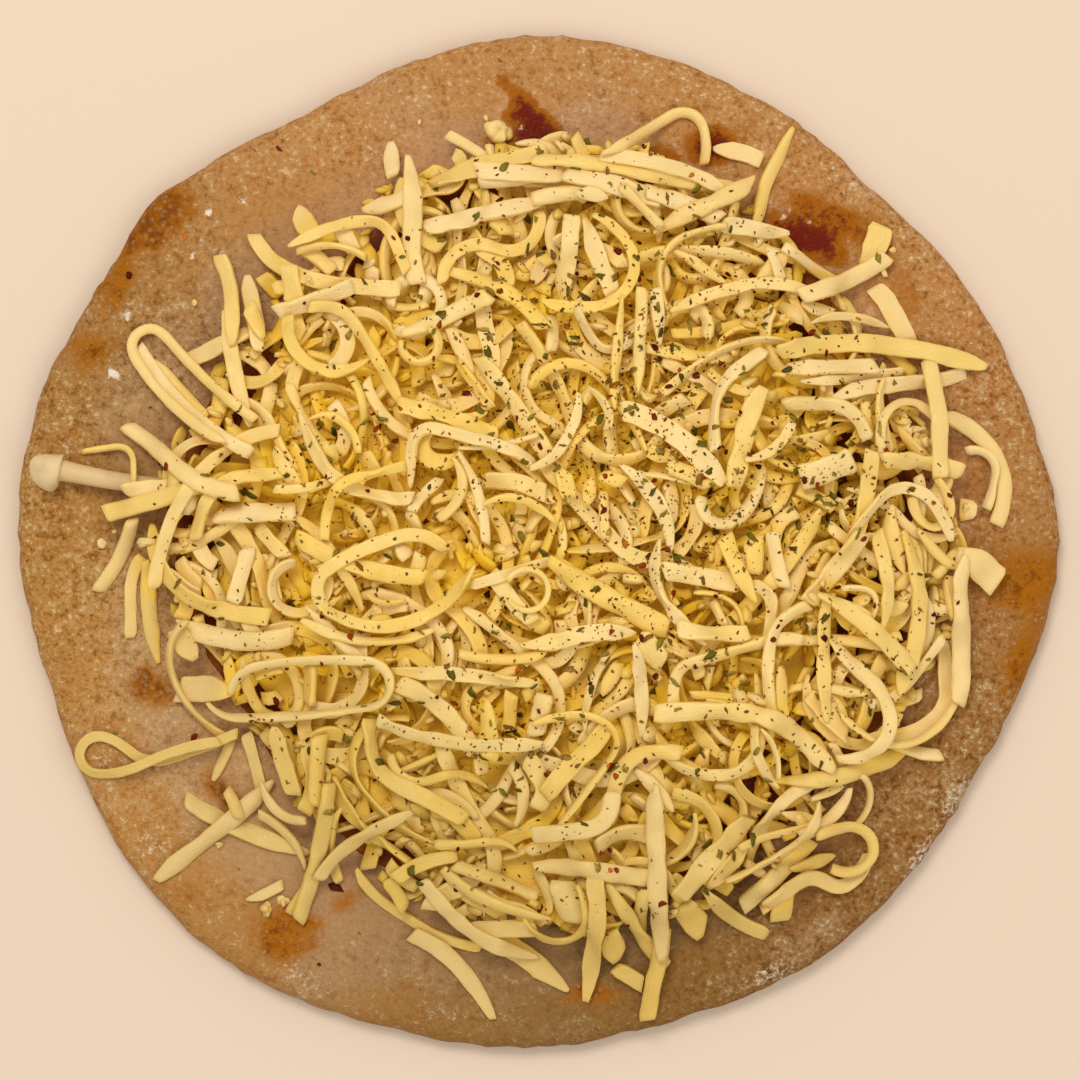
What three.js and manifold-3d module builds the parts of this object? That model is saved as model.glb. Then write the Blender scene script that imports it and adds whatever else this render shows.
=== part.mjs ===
// A 26 cm cheese pizza, topped and not yet baked through: a flat par-baked base, tomato sauce,
// a loose heap of grated cheese with dried herbs fused on it, and one enoki mushroom at the edge.
// Millimetres, +Z up. The origin is on the underside, in the middle of the base's box.

import * as THREE from 'three';
import { mergeVertices } from 'three/addons/utils/BufferGeometryUtils.js';
import Module from 'manifold-3d';

const wasm = await Module();
wasm.setup();

// Driving dimensions.
const gap = 0.3; // left between pieces that lie on each other
const bite = 0.5; // how far fused pieces reach into each other
const base = {
  thickness: 8,
  radii: [ // at even angles from +X, anticlockwise; the other outlines are given in the same way
    130, 125.3, 122.5, 120.8, 122.6, 124.4, 126.5, 124, 121.8, 126, 127.8, 130,
    130, 127.8, 128.8, 130.7, 129.5, 126.9, 126, 124.2, 124, 124.3, 123.4, 125.5],
  corner: { angle: 139.5, spread: 4, height: 2.4 }, // a pinched spot in the edge
  centreY: -0.25, // the radii start here, so that the base's box is centred
  sides: 72,
  // how far in from the edge each ring lies, and its share of the thickness
  rim: [[4.6, 0], [2.4, 0.07], [0.7, 0.22], [0, 0.46], [0.7, 0.72], [2.4, 0.92], [5, 1], [12, 1], [22, 1]],
  innerRings: [0.5], // shares of the radius
  // the uneven rim: height, shares of the radius between which it grows in, waves round the edge
  ripple: { height: 0.18, from: 0.84, to: 0.96, coarse: 9, fine: 23, alongX: 30 },
};
const blisters = [ // x, y, radius and height of the raised brown spots
  [-99, 76, 11, 0.7], [-112, 47, 7, 0.5], [-117, -30, 7, 0.4], [-66, -98, 9, 0.6], [119, -14, 9, 0.6],
  [116, -32, 7, 0.4], [14, -115.5, 7, 0.5], [-35, 113, 7, 0.4], [62, 101, 6, 0.4], [84, 83, 7, 0.4],
];
const sauce = {
  thickness: 1,
  radii: [98, 96, 96, 108, 100, 97, 108, 94, 89, 85, 87, 92,
    94, 89, 85, 87, 90, 92, 94, 96, 96, 94, 96, 98],
  sides: 72,
};
const core = {
  height: 7,
  edgeHeight: 1.6,
  radii: [77, 75, 75, 77, 83, 88, 88, 86, 81, 79, 83, 83,
    83, 85, 81, 79, 83, 89, 94, 92, 85, 79, 77, 77],
  sides: 40,
  rings: [0.14, 0.3, 0.46, 0.62, 0.78, 0.92],
  fullness: 2.2, // a high power keeps the top flat and the edge steep
  bump: { height: 1, lengthX: 33, lengthY: 37, skew: 48 },
};
const shred = {
  thickness: 1.9,
  taper: 0.55, // share of the width left at the ends
  turnPerFacet: 26,
  lengthPerFacet: 13,
  bridging: 34, // rounds of evening out: more of them carry a shred across wider gaps
  easing: 3, // rounds of smoothing between one arc and the next
  crossing: 0.2, // left where a shred passes over itself
  smallest: 0.08, // finer steps in the joined heap are dropped
};
const scatter = { count: 68, radius: 88, length: [13, 24], width: [3.6, 5.6], bend: 70, seed: 11 };
const flakes = { count: 40, radius: 92, length: [2.4, 4.2], width: 2, thickness: 1.1, sunk: 0.6, seed: 29 };
const mushroom = {
  stemStart: [-92, 12.6], // hidden end, under the cheese
  capTip: [-126.4, 19.2],
  stemRadius: 2.1,
  stemLift: 11.9, // height of the stem's axis
  capLift: 12.7,
  capRadius: 4.5,
  capLength: 7.4,
  // shares of the radius and of the length, from the hidden end to the cap's tip
  stem: [[1.05, 0], [0.92, 0.38], [0.95, 0.75], [1.15, 0.94]],
  cap: [[0.82, -0.05], [1, 0.11], [0.97, 0.4], [0.78, 0.7], [0.42, 0.92], [0, 1]],
  capFrom: 0.75, // share of the way to the tip
  sides: 12,
  headroom: 1.2, // left over it by the shreds that cross it
};

// The shreds that stand out, from the lowest to the topmost of each region:
// start x, y, heading in degrees, arcs of [length, turn to the left], width, and roll on to the edge.
const shreds = [
  [-103, 12.5, 0, [[25, 5]], 5, 0],
  [-108, 6.5, 12, [[25, 8]], 5, 0],
  [-101, 5, -105, [[20, -25]], 4, 0],
  [-97.5, -5, -92, [[12, 5], [14, 18]], 4.5, 0],
  [-97, 4, -80, [[14, 25], [14, 40], [14, 10]], 5, 0],
  [-90, -21, -20, [[14, 10], [16, 30]], 5.5, 0],
  [-90, -37, 0, [[13, 5]], 7, 10],
  [-64, 27, 185, [[22, 45], [32, 35]], 4, 0],
  [-88, 44, 25, [[18, 0]], 5, 0],
  [-103, 28.5, -35, [[18, -5], [16, 35]], 5, 0],
  [-78, 57, -82, [[30, 8]], 4.5, 0],
  [-73, 66, -80, [[20, 5]], 5, 0],
  [-80, 71, -60, [[12, -25], [12, -10]], 4.5, 0],
  [-77, 24, 155, [[33, -35], [13, -170], [32, 15]], 3, 50],
  [-87, -20, -150, [[8, 50], [12, 40], [16, 30]], 3, 60],
  [-73, -48, -75, [[15, 0]], 3.5, 0],
  [-75, -48, 203, [[19, -5], [10, -60], [7, 20], [16, 200], [12, 28], [20, -18]], 2.6, 50],
  [-77, -74, -15, [[15, -10]], 3.5, 0],
  [-96, -84.5, 36, [[20, 3], [19, 4]], 4.8, 0],
  [-66, -46, -75, [[18, 5]], 5, 0],
  [-54, -48, -100, [[18, 15]], 5, 0],
  [-52, -60, -95, [[20, -10], [16, -5]], 4.5, 0],
  [-31, -67.5, 195, [[20, 25], [10, 20]], 4, 0],
  [-46, -82, -60, [[12, 25], [12, 5], [14, 25]], 3, 0],
  [-32, -98, -20, [[12, -25], [18, -25]], 5, 0],
  [-14, -98, -20, [[10, -15], [16, -20]], 6, 0],
  [-29, -84, -55, [[12, 10], [24, 40]], 4.5, 0],
  [-24, -81, -50, [[12, 25], [18, 20]], 4, 0],
  [-37, 99, -90, [[9, 10]], 4.5, 0],
  [-61, 83, -60, [[11, 0]], 6, 0],
  [-44, 81.5, 10, [[14, 15]], 5, 0],
  [-29, 77, 10, [[32, 5]], 5, 0],
  [-27, 88, 20, [[30, -10]], 6, 0],
  [-31.5, 95, -88, [[20, -5], [12, 20]], 5.5, 0],
  [-71.5, 76, -65, [[12, 35], [14, 25], [16, 0]], 4.5, 0],
  [-62, 72, 30, [[20, -20], [8, -75], [10, -5]], 3.5, 20],
  [-62, 55, -100, [[8, 40], [12, 60], [10, 35]], 3.6, 20],
  [-57, 57, 15, [[5, -20], [7, -50], [24, -10]], 3.4, 20],
  [-22, 66, -10, [[14, -20], [14, -25]], 4.5, 0],
  [-15, 45, -50, [[30, -10]], 5, 0],
  [-34, 50, 25, [[24, 0]], 5, 0],
  [-58, 31, -80, [[12, 20], [12, 40], [14, 25]], 3.8, 10],
  [-31.5, 13, 92, [[10, -5], [8, -100], [18, -5], [8, -30]], 3.6, 10],
  [-60, 1, -35, [[34, 35]], 5, 0],
  [-36, -32.5, 0, [[36, -10]], 4, 0],
  [-35, -35, -20, [[26, -45]], 5, 0],
  [-42, -44, -95, [[10, 20], [8, 50], [20, -5]], 5, 0],
  [-40, -44, -30, [[14, 20], [28, 15]], 4, 0],
  [-17, -11, 15, [[18, 5], [10, -80], [16, -40]], 3.2, 20],
  [-16, -6, -115, [[21, -45], [21, -50], [14, -120], [19, -15], [12, -65]], 3.8, 20],
  [-76, -38, 85, [[10, -75], [28, -15], [16, -165], [34, -10], [8, -60]], 3, 50],
  [-2, 93.5, 3, [[20, -15], [30, 5]], 4.5, 0],
  [15, 94.5, -2, [[32, -25]], 4, 0],
  [63.5, 102, -125, [[12, 10], [16, 25]], 4, 0],
  [44, 98, -20, [[12, 0]], 7, 0],
  [28, 77, 20, [[28, 10]], 5, 0],
  [45, 78, -10, [[17, 5]], 5, 0],
  [8, 80, -95, [[24, -5]], 5, 0],
  [13, 80, -20, [[12, -40], [10, -60], [12, -60], [12, -10]], 3.2, 20],
  [46, 77.5, 185, [[10, 15], [14, 75], [8, 20]], 2.6, 50],
  [15, 94.5, 22, [[10, 15], [11, -5], [10, -110], [9, -25]], 3.2, 40],
  [25, 62, -92, [[26, 0]], 3.5, 0],
  [19, 18, -25, [[12, -30], [14, -35]], 4.5, 0],
  [20, 32, -15, [[14, -20], [18, -20]], 6, 0],
  [43, 22, 95, [[10, -10], [12, -50], [8, 0]], 4, 10],
  [54, 38, -110, [[26, 10]], 6, 0],
  [32, 56, 30, [[20, -20], [20, -40]], 3.5, 10],
  [30, 36, 45, [[16, -15], [12, -25], [12, -50], [10, -35]], 2.8, 55],
  [79, 70.5, 20, [[6, 20], [6, 40]], 6, 0],
  [62, 69.5, -5, [[12, 0]], 4, 0],
  [64, 60, 15, [[12, 10], [13, 10]], 5, 0],
  [83, 63, -40, [[6, -20], [10, -5]], 5.5, 0],
  [86, 48, -45, [[10, 5]], 3.5, 0],
  [60, 42, 2, [[23, 0]], 5, 0],
  [71, 34, 30, [[10, -20], [16, -5], [10, 20]], 4.5, 0],
  [60, 33.5, 5, [[12, -12], [8, -50], [5, -20]], 4, 0],
  [85, 40, -115, [[8, 30], [14, 15]], 3.5, 0],
  [98, 27, 95, [[6, 40], [8, 70], [8, 60], [10, 30]], 3, 30],
  [81.5, 22, -90, [[10, -10], [12, -10]], 4.5, 0],
  [84, 19.5, 0, [[10, -3], [11, -20]], 5, 0],
  [97, 31, -5, [[10, -25], [10, -30], [10, -35], [8, -20]], 4.5, 0],
  [96, 45, -72, [[10, -12], [10, -5], [10, 0]], 4.8, 0],
  [58, 46, 15, [[20, -15], [18, -12], [16, -5]], 5.5, 0],
  [106, 22, 20, [[5, -50], [6, -70], [9, -10]], 3.5, 20],
  [98, 15, -50, [[6, -20], [6, -60], [5, -90], [8, -50]], 3, 20],
  [76, 1, 50, [[12, 0], [8, -60], [8, -45], [10, -15]], 3.5, 10],
  [83, 2, -75, [[10, -5], [8, -20], [6, -15]], 4, 0],
  [79, 2, -120, [[10, -10], [12, 0]], 5.5, 0],
  [93, 2, -45, [[8, 0], [8, 25]], 3, 0],
  [104.5, -3.5, -28, [[12, -20]], 8, 0],
  [92, -52, -155, [[12, -5], [14, -20], [10, -5]], 5, 0],
  [100, -26, -80, [[12, -10], [8, -50], [10, -35], [8, -5]], 4.5, 0],
  [105.5, -33, -100, [[10, -20], [12, -40], [12, -50], [10, -20]], 2.8, 50],
  [104, -3, -90, [[22, 3], [16, -10]], 5.8, 0],
  [89, 2, -65, [[10, -10], [12, -20], [12, -15], [8, 20]], 5, 0],
  [70, -13, -92, [[16, 2], [16, 5]], 4.3, 0],
  [71, -25, -45, [[14, 5], [10, -40], [10, -65], [10, -45]], 4.2, 10],
  [68, -13, -25, [[14, -15], [17, -10]], 5, 0],
  [2, -5, -35, [[16, 5], [18, 5]], 6.5, 0],
  [22, -25, -60, [[8, -25], [16, -5]], 4, 0],
  [29, 0, -105, [[8, 20], [10, 35], [12, 5]], 4, 10],
  [30, -7.5, -8, [[19, -3]], 5.5, 0],
  [45.5, 1, -75, [[8, 10], [10, 5]], 4.8, 0],
  [33.5, -21.5, -20, [[6, 15], [12, 10]], 5, 0],
  [33, -42, 98, [[8, -20], [6, -65], [18, 5], [10, -30]], 3.5, 20],
  [66, -16, 195, [[8, 30], [6, 35], [10, 15], [14, 0]], 3.5, 10],
  [30, -50, -75, [[8, 50], [12, 35], [12, 80], [10, 70], [8, 10]], 3.5, 20],
  [28, -42.5, 5, [[22, -8], [10, -30], [18, -25]], 5.5, 0],
  [18, -64, 85, [[8, -25], [8, -55], [8, -10]], 4.5, 0],
  [-2, -45.5, 25, [[12, -25], [8, -40], [8, -85], [22, -5]], 2.4, 55],
  [16.5, -84, -62, [[14, 5], [13, 8]], 4.5, 0],
  [-4, -93, -60, [[6, 20], [8, 60], [8, 75], [8, 30]], 2.8, 20],
  [13.5, -83, -85, [[10, -5], [14, -12], [8, -8]], 5, 0],
  [-2, -72.5, 3, [[14, 5], [8, 70], [4, 10]], 5, 0],
  [-2, -80, -2, [[14, -5], [16, -3]], 5, 0],
  [35, -90, -55, [[10, 0]], 8, 0],
  [40, -86, -50, [[10, 10], [11, 25]], 4.5, 0],
  [34, -88, 50, [[26, -3]], 6, 0],
  [50, -91, 45, [[12, -5], [12, 5]], 5, 0],
  [31, -96, -100, [[12, -2], [12, 5]], 4.8, 0],
  [28, -60, -88, [[26, 0], [18, 10]], 5.5, 0],
  [64, -73, 20, [[10, 20], [8, 35]], 3.5, 0],
  [81, -79, -115, [[8, 0], [8, -40], [8, -60]], 5.5, 0],
  [70, -72, 20, [[8, -40], [6, -60], [5, -60], [5, -60]], 3.5, 10],
];

const colours = { base: 0xb98a55, sauce: 0x7a1d0a, cheese: 0xf0dc9a, mushroom: 0xe9d6ac };

const radians = THREE.MathUtils.degToRad;
const between = (range, share) => range[0] + (range[1] - range[0]) * share;
const wave = (distance, length) => Math.sin((2 * Math.PI * distance) / length);
const polar = (angle, radius) => [radius * Math.cos(angle), radius * Math.sin(angle)];

// A repeatable run of numbers between 0 and 1.
function drawer(seed) {
  THREE.MathUtils.seededRandom(seed);
  return () => THREE.MathUtils.seededRandom();
}

// A smooth closed outline through radii at even angles.
function radiusAt(radii, angle) {
  const turn = (angle / (2 * Math.PI)) * radii.length;
  const first = Math.floor(turn);
  const share = turn - first;
  const pick = (offset) => radii[(((first + offset) % radii.length) + radii.length) % radii.length];
  const [before, here, next, after] = [pick(-1), pick(0), pick(1), pick(2)];
  const slope = (next - before) / 2;
  const nextSlope = (after - here) / 2;
  const rise = next - here;
  return here + share * (slope + share * (3 * rise - 2 * slope - nextSlope
    + share * (slope + nextSlope - 2 * rise)));
}

function baseRadius(angle) {
  const { corner } = base;
  const turned = angle - radians(corner.angle);
  const off = Math.atan2(Math.sin(turned), Math.cos(turned)) / radians(corner.spread);
  return radiusAt(base.radii, angle) + corner.height * Math.exp(-off * off);
}

// Height of the base's upper face: flat under the sauce, rippled and blistered towards the edge.
function baseTop(x, y) {
  const { ripple } = base;
  const angle = Math.atan2(y, x);
  const rim = THREE.MathUtils.smoothstep(Math.hypot(x, y) / baseRadius(angle), ripple.from, ripple.to);
  const waves = Math.sin(ripple.coarse * angle) * wave(x, ripple.alongX) + Math.sin(ripple.fine * angle);
  let height = base.thickness + rim * ripple.height * waves;
  for (const [blisterX, blisterY, radius, rise] of blisters) {
    height += rim * rise * Math.exp(-(((x - blisterX) ** 2 + (y - blisterY) ** 2) / radius ** 2));
  }
  return height;
}

function coreTop(x, y) {
  const share = Math.min(1, Math.hypot(x, y) / radiusAt(core.radii, Math.atan2(y, x)));
  const { bump } = core;
  const lump = bump.height * wave(x, bump.lengthX) * wave(y + (x * bump.lengthY) / bump.skew, bump.lengthY);
  return heapFloor + core.edgeHeight + (core.height + lump) * (1 - share ** core.fullness);
}

const sauceFloor = base.thickness + gap;
const heapFloor = sauceFloor + sauce.thickness + gap;

function bare(geometry) {
  const copy = geometry.clone();
  copy.deleteAttribute('normal');
  copy.deleteAttribute('uv');
  return mergeVertices(copy, 1e-4);
}

function toSolid(geometry) {
  const shape = bare(geometry);
  return new wasm.Manifold(new wasm.Mesh({
    numProp: 3,
    vertProperties: Float32Array.from(shape.attributes.position.array),
    triVerts: Uint32Array.from(shape.index.array),
  }));
}

function toGeometry(solid) {
  const mesh = solid.getMesh();
  const geometry = new THREE.BufferGeometry();
  geometry.setAttribute('position', new THREE.BufferAttribute(mesh.vertProperties, 3));
  geometry.setIndex(new THREE.BufferAttribute(mesh.triVerts, 1));
  return geometry;
}

// A turned disc whose rings are then moved out to an uneven outline: place gives x, y and z.
function unevenDisc(profile, sides, place) {
  const geometry = bare(new THREE.LatheGeometry(profile, sides));
  const position = geometry.attributes.position;
  for (let i = 0; i < position.count; i++) {
    const [x, height, z] = [position.getX(i), position.getY(i), position.getZ(i)];
    const moved = place(Math.atan2(x, z), Math.hypot(x, z), height);
    position.setXYZ(i, ...moved);
  }
  return geometry;
}

function makeBase() {
  const nominal = base.radii[0];
  const profile = [new THREE.Vector2(0, 0)];
  profile.push(...base.innerRings.toReversed().map((share) => new THREE.Vector2(nominal * share, 0)));
  profile.push(...base.rim.map(([inset, rise]) => new THREE.Vector2(nominal - inset, rise)));
  profile.push(...base.innerRings.map((share) => new THREE.Vector2(nominal * share, 1)));
  profile.push(new THREE.Vector2(0, 1));
  return unevenDisc(profile, base.sides, (angle, radius, rise) => {
    const reach = baseRadius(angle);
    const inset = nominal - radius;
    const deep = base.rim.at(-1)[0];
    const distance = inset <= deep ? reach - inset : (radius / (nominal - deep)) * (reach - deep);
    const [x, y] = polar(angle, distance);
    return [x, y + base.centreY, rise * baseTop(x, y + base.centreY)];
  });
}

function makeSauce() {
  const outline = new THREE.Shape();
  for (let i = 0; i < sauce.sides; i++) {
    const angle = (i / sauce.sides) * 2 * Math.PI;
    const point = polar(angle, radiusAt(sauce.radii, angle));
    if (i === 0) outline.moveTo(...point);
    else outline.lineTo(...point);
  }
  outline.closePath();
  const geometry = new THREE.ExtrudeGeometry(outline, { depth: sauce.thickness, bevelEnabled: false });
  return geometry.translate(0, 0, sauceFloor);
}

function makeCore() {
  const profile = [new THREE.Vector2(0, 0), new THREE.Vector2(1, 0), new THREE.Vector2(1, 1),
    ...core.rings.toReversed().map((share) => new THREE.Vector2(share, 1)), new THREE.Vector2(0, 1)];
  return unevenDisc(profile, core.sides, (angle, share, upper) => {
    const [x, y] = polar(angle, radiusAt(core.radii, angle) * share);
    return [x, y, upper ? coreTop(x, y) : heapFloor];
  });
}

// The stem is a round tube that swells slightly at its hidden end; the cap is a bell over its other end.
function makeMushroom() {
  const start = new THREE.Vector3(...mushroom.stemStart, mushroom.stemLift);
  const tip = new THREE.Vector3(...mushroom.capTip, mushroom.capLift);
  const axis = tip.clone().sub(start);
  const length = axis.length();
  const skirt = length - mushroom.capLength;
  const profile = [new THREE.Vector2(0, 0)];
  for (const [share, along] of mushroom.stem) {
    profile.push(new THREE.Vector2(share * mushroom.stemRadius, along * skirt));
  }
  for (const [share, along] of mushroom.cap) {
    profile.push(new THREE.Vector2(share * mushroom.capRadius, skirt + along * mushroom.capLength));
  }
  const geometry = new THREE.LatheGeometry(profile, mushroom.sides);
  const turn = new THREE.Quaternion().setFromUnitVectors(new THREE.Vector3(0, 1, 0), axis.normalize());
  return bare(geometry.applyQuaternion(turn).translate(...start.toArray()));
}

// The height reached so far by everything under each square millimetre.
const mapHalf = 140;
const mapSide = 2 * mapHalf + 1;
const reachMap = {
  cells: new Float32Array(mapSide * mapSide).fill(-Infinity),
  index(x, y) {
    return (Math.round(y) + mapHalf) * mapSide + Math.round(x) + mapHalf;
  },
  raise(x, y, height) {
    const cell = this.index(x, y);
    this.cells[cell] = Math.max(this.cells[cell], height);
  },
};

function startReachMap() {
  for (let y = -mapHalf; y <= mapHalf; y++) {
    for (let x = -mapHalf; x <= mapHalf; x++) {
      const angle = Math.atan2(y, x);
      const radius = Math.hypot(x, y);
      reachMap.raise(x, y, baseTop(x, y) + gap + bite);
      if (radius < radiusAt(sauce.radii, angle) + bite) reachMap.raise(x, y, heapFloor + bite);
      if (radius < radiusAt(core.radii, angle)) reachMap.raise(x, y, coreTop(x, y));
    }
  }
  const [startX, startY] = mushroom.stemStart;
  const [tipX, tipY] = mushroom.capTip;
  const stepsAlong = 100;
  for (let i = 0; i <= stepsAlong; i++) {
    const share = i / stepsAlong;
    const half = share > mushroom.capFrom ? mushroom.capRadius : mushroom.stemRadius;
    const [x, y] = [between([startX, tipX], share), between([startY, tipY], share)];
    const top = between([mushroom.stemLift, mushroom.capLift], share) + half + mushroom.headroom;
    for (let side = -half - 1; side <= half + 1; side += 0.5) reachMap.raise(x, y + side, top);
  }
}

// The middle line of a shred, a millimetre between points, with the turns eased into each other.
function middleLine([startX, startY, heading, arcs]) {
  const total = arcs.reduce((sum, [length]) => sum + length, 0);
  const count = Math.round(total);
  const step = total / count;
  let turns = [];
  for (let i = 0; i < count; i++) {
    let along = (i + 0.5) * step;
    const arc = arcs.find(([length]) => {
      if (along < length) return true;
      along -= length;
      return false;
    }) ?? arcs.at(-1);
    turns.push((radians(arc[1]) / arc[0]) * step);
  }
  for (let round = 0; round < shred.easing; round++) {
    turns = turns.map((turn, i) => ((turns[i - 1] ?? turn) + turn + (turns[i + 1] ?? turn)) / 3);
  }
  let angle = radians(heading);
  let [x, y] = [startX, startY];
  const line = [{ x, y, angle }];
  for (const turn of turns) {
    angle += turn / 2;
    x += step * Math.cos(angle);
    y += step * Math.sin(angle);
    angle += turn / 2;
    line.push({ x, y, angle });
  }
  return line;
}

// Lifts the low points towards their neighbours' mean, and never drops one below its rest height.
function bridge(rest) {
  let level = rest;
  for (let round = 0; round < shred.bridging; round++) {
    level = level.map((z, i) => {
      const before = level[i - 1] ?? level[i + 1];
      const after = level[i + 1] ?? level[i - 1];
      return Math.max(rest[i], (before + after) / 2);
    });
  }
  return level;
}

// Lays a shred on all that is below it. It bridges gaps, and passes over itself where it crosses.
function lay(line, width, roll) {
  const halfSpan = (width * Math.cos(roll) + shred.thickness * Math.sin(roll)) / 2;
  const halfRise = (width * Math.sin(roll) + shred.thickness * Math.cos(roll)) / 2;
  const rest = line.map(({ x, y, angle }) => {
    let support = -Infinity;
    for (let side = -halfSpan; side <= halfSpan + 0.01; side += halfSpan / 3) {
      const cell = reachMap.index(x - side * Math.sin(angle), y + side * Math.cos(angle));
      support = Math.max(support, reachMap.cells[cell]);
    }
    return support + halfRise - bite;
  });
  let heights = bridge(rest);
  const apart = Math.ceil(3 * width);
  for (let i = apart; i < line.length; i++) {
    for (let j = 0; j < i - apart; j++) {
      if (Math.hypot(line[i].x - line[j].x, line[i].y - line[j].y) < 2 * halfSpan) {
        rest[i] = Math.max(rest[i], heights[j] + 2 * halfRise + shred.crossing);
      }
    }
  }
  heights = bridge(rest);
  line.forEach(({ x, y, angle }, i) => {
    for (let side = -halfSpan; side <= halfSpan + 0.01; side += halfSpan / 5) {
      reachMap.raise(x - side * Math.sin(angle), y + side * Math.cos(angle), heights[i] + halfRise);
    }
  });
  return line.map((point, i) => ({ ...point, z: heights[i] }));
}

// Keeps the points where the line has turned or run far enough for a new facet.
function thinOut(line) {
  const kept = [line[0]];
  let [turned, run] = [0, 0];
  for (let i = 1; i < line.length - 1; i++) {
    turned += Math.abs(line[i].angle - line[i - 1].angle);
    run += 1;
    if (turned / radians(shred.turnPerFacet) + run / shred.lengthPerFacet > 1) {
      kept.push(line[i]);
      [turned, run] = [0, 0];
    }
  }
  kept.push(line.at(-1));
  return kept;
}

// A flat strip that follows the line: a long box, bent ring by ring.
function strip(line, width, roll) {
  const stations = thinOut(line);
  const last = stations.length - 1;
  const box = new THREE.BoxGeometry(1, 1, last, 1, 1, last);
  const position = box.attributes.position;
  const up = new THREE.Vector3(0, 0, 1);
  for (let i = 0; i < position.count; i++) {
    const station = Math.round(position.getZ(i) + last / 2);
    const { x, y, z, angle } = stations[station];
    const side = new THREE.Vector3(-Math.sin(angle), Math.cos(angle), 0);
    const across = side.clone().multiplyScalar(Math.cos(roll)).addScaledVector(up, Math.sin(roll));
    const through = side.clone().multiplyScalar(-Math.sin(roll)).addScaledVector(up, Math.cos(roll));
    const narrowed = station === 0 || station === last ? shred.taper : 1;
    const point = new THREE.Vector3(x, y, z)
      .addScaledVector(across, position.getX(i) * width * narrowed)
      .addScaledVector(through, position.getY(i) * shred.thickness);
    position.setXYZ(i, ...point.toArray());
  }
  return toSolid(box);
}

function layRow(row) {
  const [, , , , width, roll] = row;
  return strip(lay(middleLine(row), width, radians(roll)), width, radians(roll));
}

// Short shreds in no order, under the ones that stand out.
function scatteredRows() {
  const draw = drawer(scatter.seed);
  return Array.from({ length: scatter.count }, () => {
    const angle = draw() * 2 * Math.PI;
    const radius = scatter.radius * Math.sqrt(draw());
    const heading = draw() * 360;
    const arcs = [[between(scatter.length, draw()), (draw() - 0.5) * scatter.bend]];
    const width = between(scatter.width, draw());
    return [...polar(angle, radius), heading, arcs, width, 0];
  });
}

// The larger herb flakes: small slabs pressed into the cheese, closer together in the middle.
function herbFlakes() {
  const draw = drawer(flakes.seed);
  return Array.from({ length: flakes.count }, () => {
    const angle = draw() * 2 * Math.PI;
    const [x, y] = polar(angle, flakes.radius * draw());
    const slab = new THREE.BoxGeometry(between(flakes.length, draw()), flakes.width, flakes.thickness);
    slab.rotateZ(draw() * Math.PI);
    const top = reachMap.cells[reachMap.index(x, y)];
    return toSolid(slab.translate(x, y, top + flakes.thickness / 2 - flakes.sunk));
  });
}

function makeHeap() {
  startReachMap();
  const laid = [...scatteredRows(), ...shreds].map(layRow);
  const joined = wasm.Manifold.union([toSolid(makeCore()), ...laid, ...herbFlakes()]);
  const pieces = joined.simplify(shred.smallest).decompose();
  const whole = pieces.reduce((largest, piece) => (piece.volume() > largest.volume() ? piece : largest));
  return toGeometry(whole);
}

const pizza = new THREE.Group();

function addPiece(name, geometry, colour, roughness) {
  const material = new THREE.MeshStandardMaterial({ color: colour, roughness, metalness: 0 });
  const mesh = new THREE.Mesh(geometry, material);
  mesh.name = name;
  pizza.add(mesh);
}

addPiece('pizza_base', makeBase(), colours.base, 0.85);
addPiece('tomato_sauce', makeSauce(), colours.sauce, 0.35);
addPiece('cheese_heap', makeHeap(), colours.cheese, 0.55);
addPiece('enoki_mushroom', makeMushroom(), colours.mushroom, 0.5);

export default pizza;
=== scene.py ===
# A 26 cm cheese pizza before its last bake: par-baked base, tomato sauce, grated cheese, herbs and
# one enoki mushroom. All tables are in millimetres, seen from above with +Y at the top. Meshes are
# brought to metres as they are made.
import bpy
import bmesh
import math
import numpy as np
from mathutils import Matrix, Vector


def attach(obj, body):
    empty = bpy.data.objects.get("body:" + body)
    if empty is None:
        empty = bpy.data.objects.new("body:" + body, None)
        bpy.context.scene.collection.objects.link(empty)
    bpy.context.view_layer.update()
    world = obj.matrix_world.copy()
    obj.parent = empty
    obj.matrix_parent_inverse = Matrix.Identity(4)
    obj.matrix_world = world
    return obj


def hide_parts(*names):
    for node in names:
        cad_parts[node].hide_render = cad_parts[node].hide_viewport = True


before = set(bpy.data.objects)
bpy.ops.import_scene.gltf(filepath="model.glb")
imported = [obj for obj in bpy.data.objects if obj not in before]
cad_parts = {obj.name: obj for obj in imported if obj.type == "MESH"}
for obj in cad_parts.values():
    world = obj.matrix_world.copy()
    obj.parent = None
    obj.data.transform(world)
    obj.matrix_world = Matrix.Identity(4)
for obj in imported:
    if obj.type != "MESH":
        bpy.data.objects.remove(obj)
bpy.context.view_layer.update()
mm = 0.001
fullTurn = 2 * math.pi
cloudCells = 64  # bumps after which a cloud repeats
cloudStart = 1000  # bumps from the start of a cloud's table to the origin
weldWithin = 0.002  # points this close become one where a lathe closes
unitRadius = 100  # of a disc before it is drawn out to its outline
gap = 0.3  # between pieces that lie on each other


# Small tools.

def smoothStep(low, high, value):
    share = np.clip((value - low) / (high - low), 0, 1)
    return share * share * (3 - 2 * share)


def cloud(x, y, size, seed):
    # soft bumps between -1 and 1, about size across
    table = np.random.RandomState(seed).uniform(-1, 1, (cloudCells, cloudCells))
    u, v = np.asarray(x) / size + cloudStart, np.asarray(y) / size + cloudStart
    i, j = np.floor(u).astype(int), np.floor(v).astype(int)
    s, t = smoothStep(0, 1, u - i), smoothStep(0, 1, v - j)
    column, row, nextColumn, nextRow = (cell % cloudCells for cell in (i, j, i + 1, j + 1))
    near = table[column, row] * (1 - s) + table[nextColumn, row] * s
    far = table[column, nextRow] * (1 - s) + table[nextColumn, nextRow] * s
    return near * (1 - t) + far * t


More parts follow.
